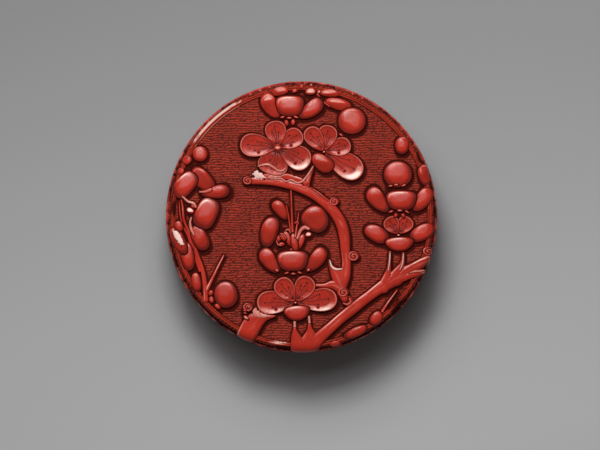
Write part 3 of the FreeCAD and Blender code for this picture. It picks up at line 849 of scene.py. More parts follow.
def new_object(name, mesh):
    """Object for a mesh, in the scene's collection."""
    made = bpy.data.objects.new(name, mesh)
    bpy.context.scene.collection.objects.link(made)
    return made


def mark(mesh, **values):
    """Stores shading values on a mesh's points."""
    for label, numbers in values.items():
        attribute = mesh.attributes.new(label, "FLOAT", "POINT")
        attribute.data.foreach_set("value", numbers.astype(np.float32))


def reworked(mesh, work):
    """Does one piece of bmesh work on a mesh."""
    build = bmesh.new()
    build.from_mesh(mesh)
    work(build)
    build.to_mesh(mesh)
    build.free()


def open_edges(build):
    """Edges that have a face on one side only."""
    return [edge for edge in build.edges if edge.is_boundary]


def close_holes(build):
    """Fills the holes in a mesh that is being built."""
    bmesh.ops.holes_fill(build, edges=open_edges(build), sides=0)


def relief(name, parts):
    """Closed object from carved shapes."""
    points, faces, rise, crest = joined(parts)
    mesh = bpy.data.meshes.new(name)
    mesh.vertices.add(len(points))
    mesh.vertices.foreach_set("co", (points * MM).ravel())
    mesh.loops.add(faces.size)
    mesh.loops.foreach_set("vertex_index", faces.ravel().astype(np.int32))
    mesh.polygons.add(len(faces))
    mesh.polygons.foreach_set("loop_start", np.arange(0, faces.size, 4, dtype=np.int32))
    mesh.update(calc_edges=True)
    mark(mesh, rise=rise, crest=crest)
    reworked(mesh, close_holes)
    mesh.shade_smooth()
    mesh.set_sharp_from_angle(angle=math.radians(50))
    return new_object(name, mesh)


def groove(mesh, shapes):
    """Sinks a flat mesh's points along the carved shapes' outlines, paints shade there and paints a shadow
    below each shape.
    """
    points = np.zeros(len(mesh.vertices) * 3)
    mesh.vertices.foreach_get("co", points)
    points = points.reshape(-1, 3) / MM
    near, dark = np.zeros(len(points)), np.zeros(len(points))
    for shape in shapes:
        x0, y0, x1, y1 = shape.reach
        across, up = points[:, 0], points[:, 1]
        close = (across > x0 - 1) & (across < x1 + 1) & (up > y0 - 1) & (up < y1 + 1)
        x, y = points[close, 0], points[close, 1]
        near[close] = np.maximum(near[close], step_up(shape.inside(x, y), -GROOVE, -0.1))
        # Painted shadow: the outline shifted so that the darkness reaches further below each shape
        below = shape.inside(x - PAINTED_SHADOW_SHIFT[0], y - PAINTED_SHADOW_SHIFT[1])
        dark[close] = np.maximum(dark[close], step_up(below, -0.82, -0.05))
    points[:, 2] -= GROOVE_DEPTH * near
    mesh.vertices.foreach_set("co", (points * MM).ravel())
    mark(mesh, crest=-np.maximum(near, dark))


def soften(outline, radius):
    """The closed outline with each corner off the axis rounded by this radius, in three points."""
    points = []
    for i, (x, y) in enumerate(outline):
        before, after = outline[i - 1], outline[(i + 1) % len(outline)]
        if x == 0:
            points.append((x, y))
            continue
        ways = []
        for other in (before, after):
            far = math.hypot(other[0] - x, other[1] - y)
            share = min(radius / far, 0.45)
            ways.append((x + (other[0] - x) * share, y + (other[1] - y) * share))
        middle = ((ways[0][0] + ways[1][0] + 2 * x) / 4, (ways[0][1] + ways[1][1] + 2 * y) / 4)
        points.extend([ways[0], middle, ways[1]])
    return points


def turned(name, outline, sides=192, shape=None):
    """Closed object turned about Z from an outline; shape moves its points and gives their values."""
    bearing = np.arange(sides) * math.tau / sides
    vertices, faces, rings = [], [], []
    for radius, z in outline:
        rings.append((len(vertices), radius == 0))
        if radius == 0:
            vertices.append((0, 0, z))
        else:
            vertices.extend(zip(radius * np.cos(bearing), radius * np.sin(bearing), [z] * sides))
    for (a, a_pole), (b, b_pole) in zip(rings, rings[1:] + rings[:1]):
        if a_pole and b_pole:
            continue
        for i in range(sides):
            j = (i + 1) % sides
            if a_pole:
                faces.append((a, b + i, b + j))
            elif b_pole:
                faces.append((a + i, b, a + j))
            else:
                faces.append((a + i, b + i, b + j, a + j))
    points = np.array(vertices, float)
    rise, crest = np.ones(len(points)), np.zeros(len(points))
    if shape:
        points, rise, crest = shape(points)
    mesh = bpy.data.meshes.new(name)
    mesh.from_pydata((points * MM).tolist(), [], faces)
    mark(mesh, rise=rise, crest=crest)
    reworked(mesh, lambda build: bmesh.ops.recalc_face_normals(build, faces=build.faces))
    mesh.shade_smooth()
    mesh.set_sharp_from_angle(angle=math.radians(38))
    return new_object(name, mesh)


# Nodes

class Value:
    """A node's output: arithmetic on it adds Math nodes to its tree."""

    def __init__(self, tree, node, socket):
        self.tree = tree
        self.node = node
        self.socket = socket

    def out(self, key):
        """Another output of the same node."""
        return Value(self.tree, self.node, self.node.outputs[key])

    def math(self, operation, *values):
        """Math node for an operation on values."""
        return self.tree.add("ShaderNodeMath", {"operation": operation}, dict(enumerate(values)))

    def __add__(self, other):
        return self.math("ADD", self, other)

    def __radd__(self, other):
        return self.math("ADD", other, self)

    def __sub__(self, other):
        return self.math("SUBTRACT", self, other)

    def __rsub__(self, other):
        return self.math("SUBTRACT", other, self)

    def __mul__(self, other):
        return self.math("MULTIPLY", self, other)

    def __rmul__(self, other):
        return self.math("MULTIPLY", other, self)

    def __truediv__(self, other):
        return self.math("DIVIDE", self, other)

    def __rtruediv__(self, other):
        return self.math("DIVIDE", other, self)

    def __pow__(self, other):
        return self.math("POWER", self, other)

    def cosine(self):
        """Cosine of an angle in radians."""
        return self.math("COSINE", self)

    def sine(self):
        """Sine of an angle in radians."""
        return self.math("SINE", self)

    def above(self, limit):
        """1 where the value is above the limit, and 0 elsewhere."""
        return self.math("GREATER_THAN", self, limit)

    def between(self, start, end):
        """0 below start and 1 above end, rising smoothly."""
        settings = {"interpolation_type": "SMOOTHSTEP"}
        values = {"Value": self, "From Min": start, "From Max": end}
        return self.tree.add("ShaderNodeMapRange", settings, values)


class Tree:
    """A node tree that nodes are added to by type, settings and the values or links of their sockets."""

    def __init__(self, tree):
        self.tree = tree

    def add(self, kind, settings=None, values=None):
        """Adds a node, and gives its first output."""
        node = self.tree.nodes.new(kind)
        for name, setting in (settings or {}).items():
            setattr(node, name, setting)
        for key, value in (values or {}).items():
            socket = node.inputs[key]
            if isinstance(value, Value):
                self.tree.links.new(value.socket, socket)
            else:
                socket.default_value = value
        outputs = [socket for socket in node.outputs if socket.enabled]
        return Value(self, node, outputs[0] if outputs else None)

    def mix(self, factor, first, second):
        """Colour between two others."""
        return self.add("ShaderNodeMix", {"data_type": "RGBA"}, {0: factor, 6: first, 7: second}).out(2)

    def stretched(self, place, scale, turn=(0, 0, 0)):
        """Coordinates stretched and turned."""
        return self.add("ShaderNodeMapping", None, {"Vector": place, "Scale": scale, "Rotation": turn})

    def noise(self, place, scale, detail=3, rough=0.5):
        """Noise from 0 to 1 at these coordinates."""
        values = {"Vector": place, "Scale": scale, "Detail": detail, "Roughness": rough}
        return self.add("ShaderNodeTexNoise", None, values).out(0)


def new_material(name):
    """Empty material and its tree."""
    material = bpy.data.materials.new(name)
    material.use_nodes = True
    material.node_tree.nodes.clear()
    return material, Tree(material.node_tree)


def finish_material(tree, sockets):
    """Ends a material in one shader."""
    shader = tree.add("ShaderNodeBsdfPrincipled", None, sockets)
    tree.add("ShaderNodeOutputMaterial", None, {"Surface": shader})


def rgba(colour):
    """Colour with full alpha."""
    return (*colour, 1.0)


def scaled(colour, share):
    """Colour made darker or lighter."""
    return tuple(part * share for part in colour)


def red_lacquer(name, colours, rough, grain, shade, shine):
    """Red lacquer with painted shade in the cuts, round and below the carved shapes and between the ripples,
    and painted highlights and wear on edges.
    """
    colour, trough_shade_colour, painted_shade_colour, painted_light_and_wear, pale_highlight_and_wear = colours
    material, tree = new_material(name)
    place = tree.add("ShaderNodeTexCoord").out("Object")
    rise = tree.add("ShaderNodeAttribute", {"attribute_name": "rise"}).out("Fac")
    crest = tree.add("ShaderNodeAttribute", {"attribute_name": "crest"}).out("Fac")
    cloud = tree.noise(place, 170, 3)
    speck = tree.noise(place, 2600, 2)
    dashes = tree.noise(tree.stretched(place, (1500, 4200, 4200)), 1, 1)
    marks = tree.noise(tree.stretched(place, (900, 5200, 900), (0, 0, 0.5)), 1, 2)
    # The crest value holds painted light: below 0 painted shade, above 0 painted highlight and wear
    painted_shade = (0 - crest).between(0.05, 0.9)
    # Painted highlight and wear where the crest value is above 0
    edge = crest.between(0.15, 0.9)
    # Painted shade low between the ripples and at the foot of carved shapes, broken by dashes
    painted_trough_shade = 1 - (rise + 0.55 * (dashes - 0.5)).between(0.10, 0.55)
    body = tree.mix(cloud.between(0.3, 0.7), rgba(scaled(colour, 0.86)), rgba(scaled(colour, 1.12)))
    body = tree.mix(painted_trough_shade * shade, body, rgba(trough_shade_colour))
    body = tree.mix(painted_shade * 0.93, body, rgba(painted_shade_colour))
    body = tree.mix(edge * (0.45 + 0.45 * speck.between(0.35, 0.7)), body, rgba(painted_light_and_wear))
    # The palest painted highlights and worn patches
    body = tree.mix(crest.between(0.95, 1.5), body, rgba(pale_highlight_and_wear))
    roughness = rough + 0.12 * (cloud - 0.5) + 0.06 * (speck - 0.5) + 0.5 * painted_shade + 0.14 * edge
    height = speck * 0.6 + marks * 0.4
    bump = tree.add("ShaderNodeBump", None, {"Strength": grain, "Distance": 0.00004, "Height": height})
    finish_material(tree, {
        "Base Color": body, "Roughness": roughness, "Normal": bump, "Specular IOR Level": shine})
    return material


def black_lacquer(name, colour):
    """Smooth black lacquer with faint brush lines and a brown cast where it is thin."""
    material, tree = new_material(name)
    place = tree.add("ShaderNodeTexCoord").out("Object")
    cloud = tree.noise(place, 60, 4)
    fine = tree.noise(place, 1400, 2)
    brown = (colour[0] * 2.4, colour[1] * 1.6, colour[2] * 1.2)
    body = tree.mix(cloud.between(0.35, 0.75), rgba(colour), rgba(brown))
    height = fine + 2 * cloud
    bump = tree.add("ShaderNodeBump", None, {"Strength": 0.15, "Distance": 0.00003, "Height": height})
    finish_material(tree, {
        "Base Color": body, "Roughness": 0.22 + 0.18 * cloud, "Normal": bump,
        "Coat Weight": 0.3, "Coat Roughness": 0.1})
    return material


def core_wood(name, colour):
    """Turned softwood with fine grain along X."""
    material, tree = new_material(name)
    place = tree.add("ShaderNodeTexCoord").out("Object")
    grain = tree.noise(tree.stretched(place, (40, 420, 420)), 1, 4, 0.6)
    pores = tree.noise(tree.stretched(place, (300, 3000, 3000)), 1, 2)
    body = tree.mix(grain.between(0.3, 0.7), rgba(colour), rgba(scaled(colour, 0.55)))
    height = grain + pores * 0.5
    bump = tree.add("ShaderNodeBump", None, {"Strength": 0.3, "Distance": 0.00008, "Height": height})
    finish_material(tree, {"Base Color": body, "Roughness": 0.6 + 0.2 * pores, "Normal": bump})
    return material


def floor_paper(name, colour):
    """Plain matt floor, darker towards the back and lighter to the right, with the slightest mottling."""
    material, tree = new_material(name)
    place = tree.add("ShaderNodeTexCoord").out("Object")
    cloud = tree.noise(place, 9, 3)
    parts = tree.add("ShaderNodeSeparateXYZ", None, {0: place})
    near = 1 - parts.out(1).between(-0.10, 0.10)
    bright = near + 0.05 * cloud + 1.2 * parts.out(0)
    body = tree.mix(bright, rgba(scaled(colour, 0.68)), rgba(scaled(colour, 1.40)))
    finish_material(tree, {"Base Color": body, "Roughness": 0.9})
    return material


# Settings

def length_setting(name, description, millimetres):
    """A setting that is a length, from its default in millimetres."""
    return FloatProperty(name=name, description=description, default=millimetres * MM, unit="LENGTH")


def colour_setting(name, description, default):
    """A setting that is a colour."""
    return FloatVectorProperty(name=name, description=description, default=default, subtype="COLOR")


class CarvingSettings(bpy.types.PropertyGroup):
    """Sizes of the carving and the ripples"""
    step: length_setting("Mesh step", "Distance between a carved mesh's points", 0.115)
    petal_step: length_setting("Petal mesh step", "Distance between points on open flowers", 0.09)
    ripple_pitch: length_setting("Ripple pitch", "Distance from one ripple of the ground to the next", 0.67)
    ripple_height: length_setting("Ripple height", "Height of the ground's ripples", 0.20)
    ripple_seed: IntProperty(name="Ripple seed", description="Which unevenness the ripples have", default=7)
    side_step: length_setting("Side mesh step", "Distance between points on the sides' sprigs", 0.16)
    side_sprigs: IntProperty(
        name="Side sprigs", description="How many times a sprig is carved round a side", default=5, min=1)


class FinishSettings(bpy.types.PropertyGroup):
    """Colours of the lacquer and the wood, and of its painted shade and highlights"""
    carving: colour_setting("Carving", "Colour of the carved shapes", (0.455, 0.030, 0.017))
    ground: colour_setting("Ground", "Colour of the rippled ground", (0.34, 0.032, 0.016))
    # Painted shade between the ripples
    trough_shade_colour: colour_setting("Trough", "Colour between the ground's ripples", (0.085, 0.011, 0.007))
    # Painted shade in the cuts, round the carved shapes and on their shaded sides
    painted_shade_colour: colour_setting("Recess", "Colour in the cuts", (0.034, 0.0035, 0.0025))
    # Painted highlight and wear
    painted_light_and_wear: colour_setting("Worn edge", "Colour of worn edges", (0.80, 0.33, 0.26))
    # The palest painted highlight and wear
    pale_highlight_and_wear: colour_setting("Pale edge", "Colour of the most worn edges", (0.92, 0.70, 0.62))
    black: colour_setting("Black", "Colour of the lacquer inside", (0.014, 0.011, 0.010))
    wood: colour_setting("Wood", "Colour of the core", (0.42, 0.26, 0.14))


class StageSettings(bpy.types.PropertyGroup):
    """Floor, lamps and camera"""
    floor: colour_setting("Floor", "Colour of the floor", (0.34, 0.34, 0.345))
    key: FloatProperty(name="Key light", description="Power of the main lamp, in watts", default=1.40)
    overhead: FloatProperty(
        name="Overhead light", description="Power of the broad lamp above, in watts", default=1.30)
    camera_distance: length_setting("Camera distance", "From the lid to the camera", 2000)


# Geometry nodes

def grid_of_ripples(tree, values):
    """Ripple heights over a flat place, from 0 to 1, in rows along X."""
    place = tree.add("GeometryNodeInputPosition")
    parts = tree.add("ShaderNodeSeparateXYZ", None, {0: place})
    x, y = parts.out(0), parts.out(1)
    seed = values["Seed"] * 0.37
    wide = tree.add("ShaderNodeCombineXYZ", None, {0: x * 260, 1: y * 420, 2: seed})
    fine = tree.add("ShaderNodeCombineXYZ", None, {0: x * 900, 1: y * 1500, 2: seed + 9})
    wander = (tree.noise(wide, 1, 1) - 0.5) * 1.2 + (tree.noise(fine, 1, 0) - 0.5) * 0.6
    phase = (y / values["Pitch"] + wander) * math.tau
    ridge = phase.cosine() * 0.5 + 0.5
    patch = tree.add("ShaderNodeCombineXYZ", None, {0: x * 2700, 1: y * 3300, 2: seed + 4})
    broken = tree.noise(patch, 1, 0).between(0.36, 0.50)
    return x, y, ridge * (0.05 + 0.95 * broken)


def new_group(name, sockets):
    """Geometry node tree with named inputs, and their values."""
    group = bpy.data.node_groups.new(name, "GeometryNodeTree")
    group.interface.new_socket("Geometry", in_out="INPUT", socket_type="NodeSocketGeometry")
    for label, kind in sockets:
        group.interface.new_socket(label, in_out="INPUT", socket_type=kind)
    group.interface.new_socket("Geometry", in_out="OUTPUT", socket_type="NodeSocketGeometry")
    tree = Tree(group)
    start = tree.add("NodeGroupInput")
    return group, tree, {label: start.out(label) for label in ("Geometry", *(label for label, _ in sockets))}


def close_group(tree, geometry, material):
    """Ends a geometry tree in real meshes with their material."""
    real = tree.add("GeometryNodeRealizeInstances", None, {0: geometry})
    smooth = tree.add("GeometryNodeSetShadeSmooth", None, {0: real})
    painted = tree.add("GeometryNodeSetMaterial", None, {"Geometry": smooth, "Material": material})
    tree.add("NodeGroupOutput", None, {0: painted})


def baked(piece, group, settings):
    """Sets a geometry tree's inputs on a piece and keeps only the mesh that it gives."""
    modifier = piece.modifiers.new(group.name, "NODES")
    modifier.node_group = group
    for item in group.interface.items_tree:
        if item.in_out == "INPUT" and item.name in settings:
            modifier[item.identifier] = settings[item.name]
    evaluated = piece.evaluated_get(bpy.context.evaluated_depsgraph_get())
    mesh = bpy.data.meshes.new_from_object(evaluated)
    piece.modifiers.clear()
    piece.data = mesh
    return piece


def ripple_group():
    """Tree for the lid's ground: a round sheet of wavering ripples."""
    group, tree, values = new_group("Rippled ground", (
        ("Radius", "NodeSocketFloat"), ("Level", "NodeSocketFloat"), ("Pitch", "NodeSocketFloat"),
        ("Height", "NodeSocketFloat"), ("Seed", "NodeSocketInt"), ("Rows", "NodeSocketInt"),
        ("Columns", "NodeSocketInt"), ("Material", "NodeSocketMaterial")))
    radius = values["Radius"]
    sheet = tree.add("GeometryNodeMeshGrid", None, {
        "Size X": radius * 2, "Size Y": radius * 2,
        "Vertices X": values["Columns"], "Vertices Y": values["Rows"]})
    x, y, wave = grid_of_ripples(tree, values)
    out = (x * x + y * y) ** 0.5
    rise = wave * (1 - out.between(radius * 0.985, radius))
    shift = tree.add("ShaderNodeCombineXYZ", None, {2: values["Level"] + values["Height"] * rise})
    placed = tree.add("GeometryNodeSetPosition", None, {"Geometry": sheet, "Offset": shift})
    on_points = {"data_type": "FLOAT", "domain": "POINT"}
    named = {"Geometry": placed, "Name": "rise", "Value": rise}
    marked = tree.add("GeometryNodeStoreNamedAttribute", on_points, named)
    beyond = {"Geometry": marked, "Selection": out.above(radius)}
    cut = tree.add("GeometryNodeDeleteGeometry", {"domain": "POINT"}, beyond)
    close_group(tree, cut, values["Material"])
    return group


def sprig_group():
    """Tree that repeats a flat sprig round a side: its x runs round the side, its y up and its z outwards."""
    group, tree, values = new_group("Sprigs round a side", (
        ("Count", "NodeSocketInt"), ("Radius", "NodeSocketFloat"), ("Level", "NodeSocketFloat"),
        ("Start", "NodeSocketFloat"), ("Material", "NodeSocketMaterial")))
    apart = values["Radius"] * math.tau / values["Count"]
    offset = tree.add("ShaderNodeCombineXYZ", None, {0: apart})
    places = tree.add("GeometryNodeMeshLine", None, {"Count": values["Count"], "Offset": offset})
    row = tree.add("GeometryNodeInstanceOnPoints", None, {"Points": places, "Instance": values["Geometry"]})
    real = tree.add("GeometryNodeRealizeInstances", None, {0: row})
    parts = tree.add("ShaderNodeSeparateXYZ", None, {0: tree.add("GeometryNodeInputPosition")})
    bearing = parts.out(0) / values["Radius"] + values["Start"]
    out = values["Radius"] + parts.out(2)
    bent = tree.add("ShaderNodeCombineXYZ", None, {
        0: out * bearing.cosine(), 1: out * bearing.sine(), 2: parts.out(1) + values["Level"]})
    placed = tree.add("GeometryNodeSetPosition", None, {"Geometry": real, "Position": bent})
    close_group(tree, placed, values["Material"])
    return group


# Operators

def dress(piece, body, slot, material, *nodes):
    """Gives a finished piece its material and body, and hides the nodes that it stands for; its slot is not
    used.
    """
    piece.data.materials.clear()
    piece.data.materials.append(material)
    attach(piece, body)
    if nodes:
        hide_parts(*nodes)


def finish_of(context, kind):
    """The named material, made once from the settings."""
    if kind in bpy.data.materials:
        return bpy.data.materials[kind]
    colours = context.scene.lacquer_finish
    if kind == "carved_red":
        shades = (colours.carving, colours.painted_shade_colour, colours.painted_shade_colour, colours.painted_light_and_wear, colours.pale_highlight_and_wear)
        return red_lacquer(kind, shades, rough=0.19, grain=0.02, shade=0.80, shine=0.14)
    if kind == "ground_red":
        shades = (colours.ground, colours.trough_shade_colour, colours.painted_shade_colour, colours.painted_light_and_wear, colours.pale_highlight_and_wear)
        return red_lacquer(kind, shades, rough=0.42, grain=0.20, shade=0.97, shine=0.04)
    if kind == "black":
        return black_lacquer(kind, colours.black)
    return core_wood(kind, colours.wood)


class LACQUER_OT_turned(bpy.types.Operator):
    """Make the turned wooden cores and the black lacquered parts inside and below"""
    bl_idname = "lacquer.turned"
    bl_label = "Cores and Linings"

    def execute(self, context):
        floor = low("base_collar", 2)
        wall = high("base_lining", 0)
        underside = low("base_underside", 2)
        core_foot = low("base_core", 2)
        core_floor = low("base_lining", 2)
        core_top = high("lid_core", 2)
        lid_wall = high("lid_lining", 0)
        ceiling = high("lid_lining", 2)
        collar_top = high("base_collar", 2)
        collar_inner = wall - COLLAR_WALL
        lining = floor - core_floor
        outlines = (
            ("core_of_base", "base", "core_wood", "wood", "base_core", [
                (0, core_foot), (CORE, core_foot), (CORE, SEAM - SKIN), (wall, SEAM - SKIN),
                (wall, core_floor), (0, core_floor)]),
            ("mouth_skin_of_base", "base", "black_lacquer", "black", None, [
                (wall, SEAM - SKIN), (CORE, SEAM - SKIN), (CORE, SEAM), (wall, SEAM)]),
            ("floor_lining_of_base", "base", "black_lacquer", "black", "base_lining", [
                (0, core_floor), (wall, core_floor), (wall, floor), (0, floor)]),
            ("collar_of_base", "base", "black_lacquer", "black", "base_collar", [
                (collar_inner, floor), (wall, floor), (wall, collar_top), (collar_inner, collar_top)]),
            ("underside_of_base", "base", "black_lacquer", "black", "base_underside", [
                (0, underside), (FOOT_INNER, underside), (FOOT_INNER, core_foot), (0, core_foot)]),
            ("core_of_lid", "lid", "core_wood", "wood", "lid_core", [
                (0, core_top), (CORE, core_top), (CORE, SEAM + SKIN), (lid_wall, SEAM + SKIN),
                (lid_wall, ceiling), (0, ceiling)]),
            ("mouth_skin_of_lid", "lid", "black_lacquer", "black", None, [
                (lid_wall, SEAM), (CORE, SEAM), (CORE, SEAM + SKIN), (lid_wall, SEAM + SKIN)]),
            ("lining_of_lid", "lid", "black_lacquer", "black", "lid_lining", [
                (0, ceiling), (lid_wall, ceiling), (lid_wall, SEAM), (lid_wall - lining, SEAM),
                (lid_wall - lining, ceiling - lining), (0, ceiling - lining)]),
        )
        for name, body, slot, kind, node, outline in outlines:
            piece = turned(name, soften(outline, CORNER if node else SKIN_CORNER))
            dress(piece, body, slot, finish_of(context, kind), *([node] if node else []))
        return {"FINISHED"}


def arc(centre, width, height, start, end, steps):
    """Points along part of an oval."""
    angles = np.radians(np.linspace(start, end, steps + 1))
    return [(centre[0] + width * math.cos(a), centre[1] + height * math.sin(a)) for a in angles]


def side_rows(lowest, highest, step):
    """Outline points up or down a plain side."""
    count = max(int(abs(highest - lowest) / step), 1)
    return [(GROUND, lowest + (highest - lowest) * i / count) for i in range(1, count)]


def sprig_start(body):
    """Bearing of the first sprig's middle on a body's side."""
    return math.radians({"lid": -90, "base": -54}[body])


def rippled_side(points, lowest, highest, settings, seed, body):
    """Moves the points of a coat's side to its ripples, and gives their shading values, with painted shade
    round the sprigs.
    """
    x, y, z = points.T
    radius, bearing = np.hypot(x, y), np.arctan2(y, x)
    on_side = step_up(radius, GROUND - 0.05, GROUND - 0.01)
    on_side = on_side * (1 - step_up(radius, GROUND + 0.01, GROUND + 0.05))
    on_side = on_side * step_up(z, lowest, lowest + 0.25) * (1 - step_up(z, highest - 0.25, highest))
    draw = np.random.default_rng(seed)
    wander, broken = 0, 0
    for waves in (9, 17, 31, 53, 88, 121):
        phase, lean = draw.uniform(0, math.tau), draw.uniform(-0.6, 0.6)
        wander = wander + 0.13 * np.sin(bearing * waves + z * lean * 2 + phase)
    for waves in (70, 113, 161, 205):
        phase, lean = draw.uniform(0, math.tau), draw.uniform(-4, 4)
        broken = broken + 0.25 * np.sin(bearing * waves + z * lean + phase)
    pitch, height = settings.ripple_pitch / MM, settings.ripple_height / MM
    ridge = 0.5 + 0.5 * np.cos((z / pitch + wander) * math.tau)
    wave = ridge * (0.65 + 0.35 * broken)
    scale = (radius + on_side * (height * (wave - 0.6))) / np.maximum(radius, 1e-6)
    points = np.stack([x * scale, y * scale, z], -1)
    rise = 1 - on_side + on_side * wave

    repeat = math.tau * GROUND / settings.side_sprigs
    along = ((bearing - sprig_start(body)) * GROUND + repeat / 2) % repeat - repeat / 2
    up = z - (lowest + highest) / 2
    # Painted shade in the groove round each sprig
    near = 0
    for name in SPRIG_ORDER:
        for shape in shapes_of(name):
            near = np.maximum(near, step_up(shape.inside(along, up), -GROOVE, -0.1))
    return points, rise, edge_painted_light_and_wear(radius, bearing, z) - on_side * near


def edge_painted_light_and_wear(radius, bearing, z):
    """Painted light and wear of a coat's edges: below 0 painted shade on the shoulder and in the ledge's
    recess under the lid, above 0 a painted highlight on the shoulder and lip, and worn patches.
    """
    x, y = radius * np.cos(bearing), radius * np.sin(bearing)
    top = (z > SHOULDER_FOOT) * (1 - step_up(radius, GROUND + 0.02, GROUND + 0.1))
    shoulder = step_up(radius, BORDER + 0.45, BORDER + 0.6) * top
    line = bell(radius, BORDER - 0.30, 0.20) * top
    ledge = step_up(radius, GROUND - 0.02, GROUND + 0.05) * (z > SEAM + BAND - 0.3)
    lip = ledge * step_up(radius, MOUTH - 0.35, MOUTH - 0.2)
    middle, half = math.radians(SHOULDER_HIGHLIGHT[0]), math.radians(SHOULDER_HIGHLIGHT[1])
    off = np.abs((bearing - middle + math.pi) % math.tau - math.pi) / half
    # Painted highlight on the part of the shoulder towards the light; painted shade on the shoulder, the
    # border line and the ledge, broken by dark flecks; a lighter lip
    highlight_and_wear = 1 - step_up(off + 0.18 * uneven(x, y, 1.6, 5), 0.55, 1.05)
    flecks = uneven(x, y, 0.9, 8) + 0.6 * uneven(x, y, 0.45, 9)
    dark = shoulder * (0.42 - 0.45 * flecks) + line * (0.25 - 0.6 * flecks) + 0.9 * ledge
    lit = step_up(np.abs(np.sin(bearing)), 0.35, 0.75)
    value = 1.3 * (shoulder + 0.8 * line) * highlight_and_wear - dark * (1 - highlight_and_wear * (1 - ledge))
    value = value + lip * (0.5 + 0.45 * lit)
    # Worn patches made lighter and patches of painted shade made darker
    for place_x, place_y, wide, tall, amount in CHIPS:
        across, up = x - place_x * MOUTH, y - place_y * MOUTH
        value = value + amount * top * np.exp(-(across / wide) ** 2 - (up / tall) ** 2)
    return value


class LACQUER_OT_coats(bpy.types.Operator):
    """Make the red coats of lid and base with bands, shoulder, rippled sides and foot"""
    bl_idname = "lacquer.coats"
    bl_label = "Red Coats"

    def execute(self, context):
        settings = context.scene.lacquer_carving
        step = settings.ripple_pitch / MM / ROWS_A_RIPPLE
        red = finish_of(context, "ground_red")

        band_top = SEAM + BAND
        side_top = SHOULDER_FOOT
        side_foot = band_top + BAND_SLOPE
        ground = GROUND_TOP - GROUND_SINK - UNDER_GROUND
        core_top = high("lid_core", 2)
        lid = [
            (0, ground), (20, ground), (33, ground), (BORDER - 0.42, ground),
            *arc((BORDER - 0.12, GROUND_TOP - 0.02), 0.20, 0.24, 180, 10, 7),
            (BORDER + 0.16, GROUND_TOP - 0.10),
            *arc((BORDER + 0.44, GROUND_TOP - 0.02), 0.24, 0.26, 170, 60, 5),
            *arc((GROUND - 0.95, GROUND_TOP - 1.35), 0.95, 1.45, 62, 0, 9),
            *side_rows(GROUND_TOP - 1.35, side_foot, step),
            (GROUND, side_foot), (GROUND + 0.12, side_foot - 0.10), (MOUTH - 0.75, band_top + 0.25),
            (MOUTH - 0.35, band_top + 0.13), (MOUTH - 0.22, band_top + 0.09),
            *arc((MOUTH - 0.25, band_top - 0.2), 0.25, 0.25, 80, 0, 4),
            *arc((MOUTH - 0.2, SEAM + 0.2), 0.2, 0.2, 0, -90, 4),
            (CORE, SEAM), (CORE, core_top), (0, core_top)]

        def lid_shape(points):
            return rippled_side(points, side_foot, side_top, settings, settings.ripple_seed + 1, "lid")

        dress(turned("coat_of_lid", lid, LID_SIDES, lid_shape), "lid", "red_ground", red, "lid_coat")

        band_foot = SEAM - BAND
        base_top = band_foot - BAND_SLOPE
        base_foot = FOOT_HEIGHT + BASE_TURN
        core_foot = low("base_core", 2)
        base = [
            (FOOT_INNER, core_foot), (CORE, core_foot), (CORE, SEAM),
            *arc((MOUTH - 0.2, SEAM - 0.2), 0.2, 0.2, 90, 0, 4),
            *arc((MOUTH - 0.25, band_foot + 0.2), 0.25, 0.25, 0, -80, 4),
            (MOUTH - 0.25, band_foot - 0.12), (GROUND + 0.1, base_top + 0.08), (GROUND, base_top),
            *side_rows(base_top, base_foot, step),
            *arc((FOOT_RADIUS, base_foot), BASE_TURN, BASE_TURN, 0, -90, 12),
            (FOOT_RADIUS, FOOT_HEIGHT - 0.15), (FOOT_RADIUS + 0.02, 0.25),
            *arc((FOOT_RADIUS - 0.25, 0.25), 0.25, 0.25, -10, -90, 4),
            *arc((FOOT_INNER + 0.25, 0.25), 0.25, 0.25, -90, -180, 4)]

        def base_shape(points):
            return rippled_side(points, base_foot, base_top, settings, settings.ripple_seed + 2, "base")

        dress(turned("coat_of_base", base, BASE_SIDES, base_shape), "base", "red_ground", red, "base_coat")
        return {"FINISHED"}


def hang_rim(build):
    """Draws a sheet's rim down into the coat and closes the sheet below."""
    rim = bmesh.ops.extrude_edge_only(build, edges=open_edges(build))
    for item in rim["geom"]:
        if isinstance(item, bmesh.types.BMVert):
            item.co.z -= (UNDER_GROUND + 0.1) * MM
    close_holes(build)


class LACQUER_OT_ripples(bpy.types.Operator):
    """Make the rippled ground on the lid's top"""
    bl_idname = "lacquer.ripples"
    bl_label = "Rippled Ground"

    def execute(self, context):
        settings = context.scene.lacquer_carving
        piece = new_object("rippled_ground", bpy.data.meshes.new("rippled_ground"))
        material = finish_of(context, "ground_red")
        baked(piece, ripple_group(), {
            "Radius": (BORDER - 0.3) * MM, "Level": (GROUND_TOP - GROUND_SINK - 0.02) * MM,
            "Pitch": settings.ripple_pitch, "Height": settings.ripple_height,
            "Seed": settings.ripple_seed, "Rows": GROUND_ROWS, "Columns": GROUND_COLUMNS,
            "Material": material})
        groove(piece.data, [shape for name in FRONT_ORDER for shape in shapes_of(name)])
        reworked(piece.data, hang_rim)
        dress(piece, "lid", "red_ground", material)
        return {"FINISHED"}


def carved_parts(name, fronts, step, lay):
    """One node's carved parts, each cut by the shapes in front of it, which it then joins."""
    parts = []
    for shape in shapes_of(name):
        parts.append(carve(shape, fronts, step, lay))
        fronts.append(shape)
    return parts


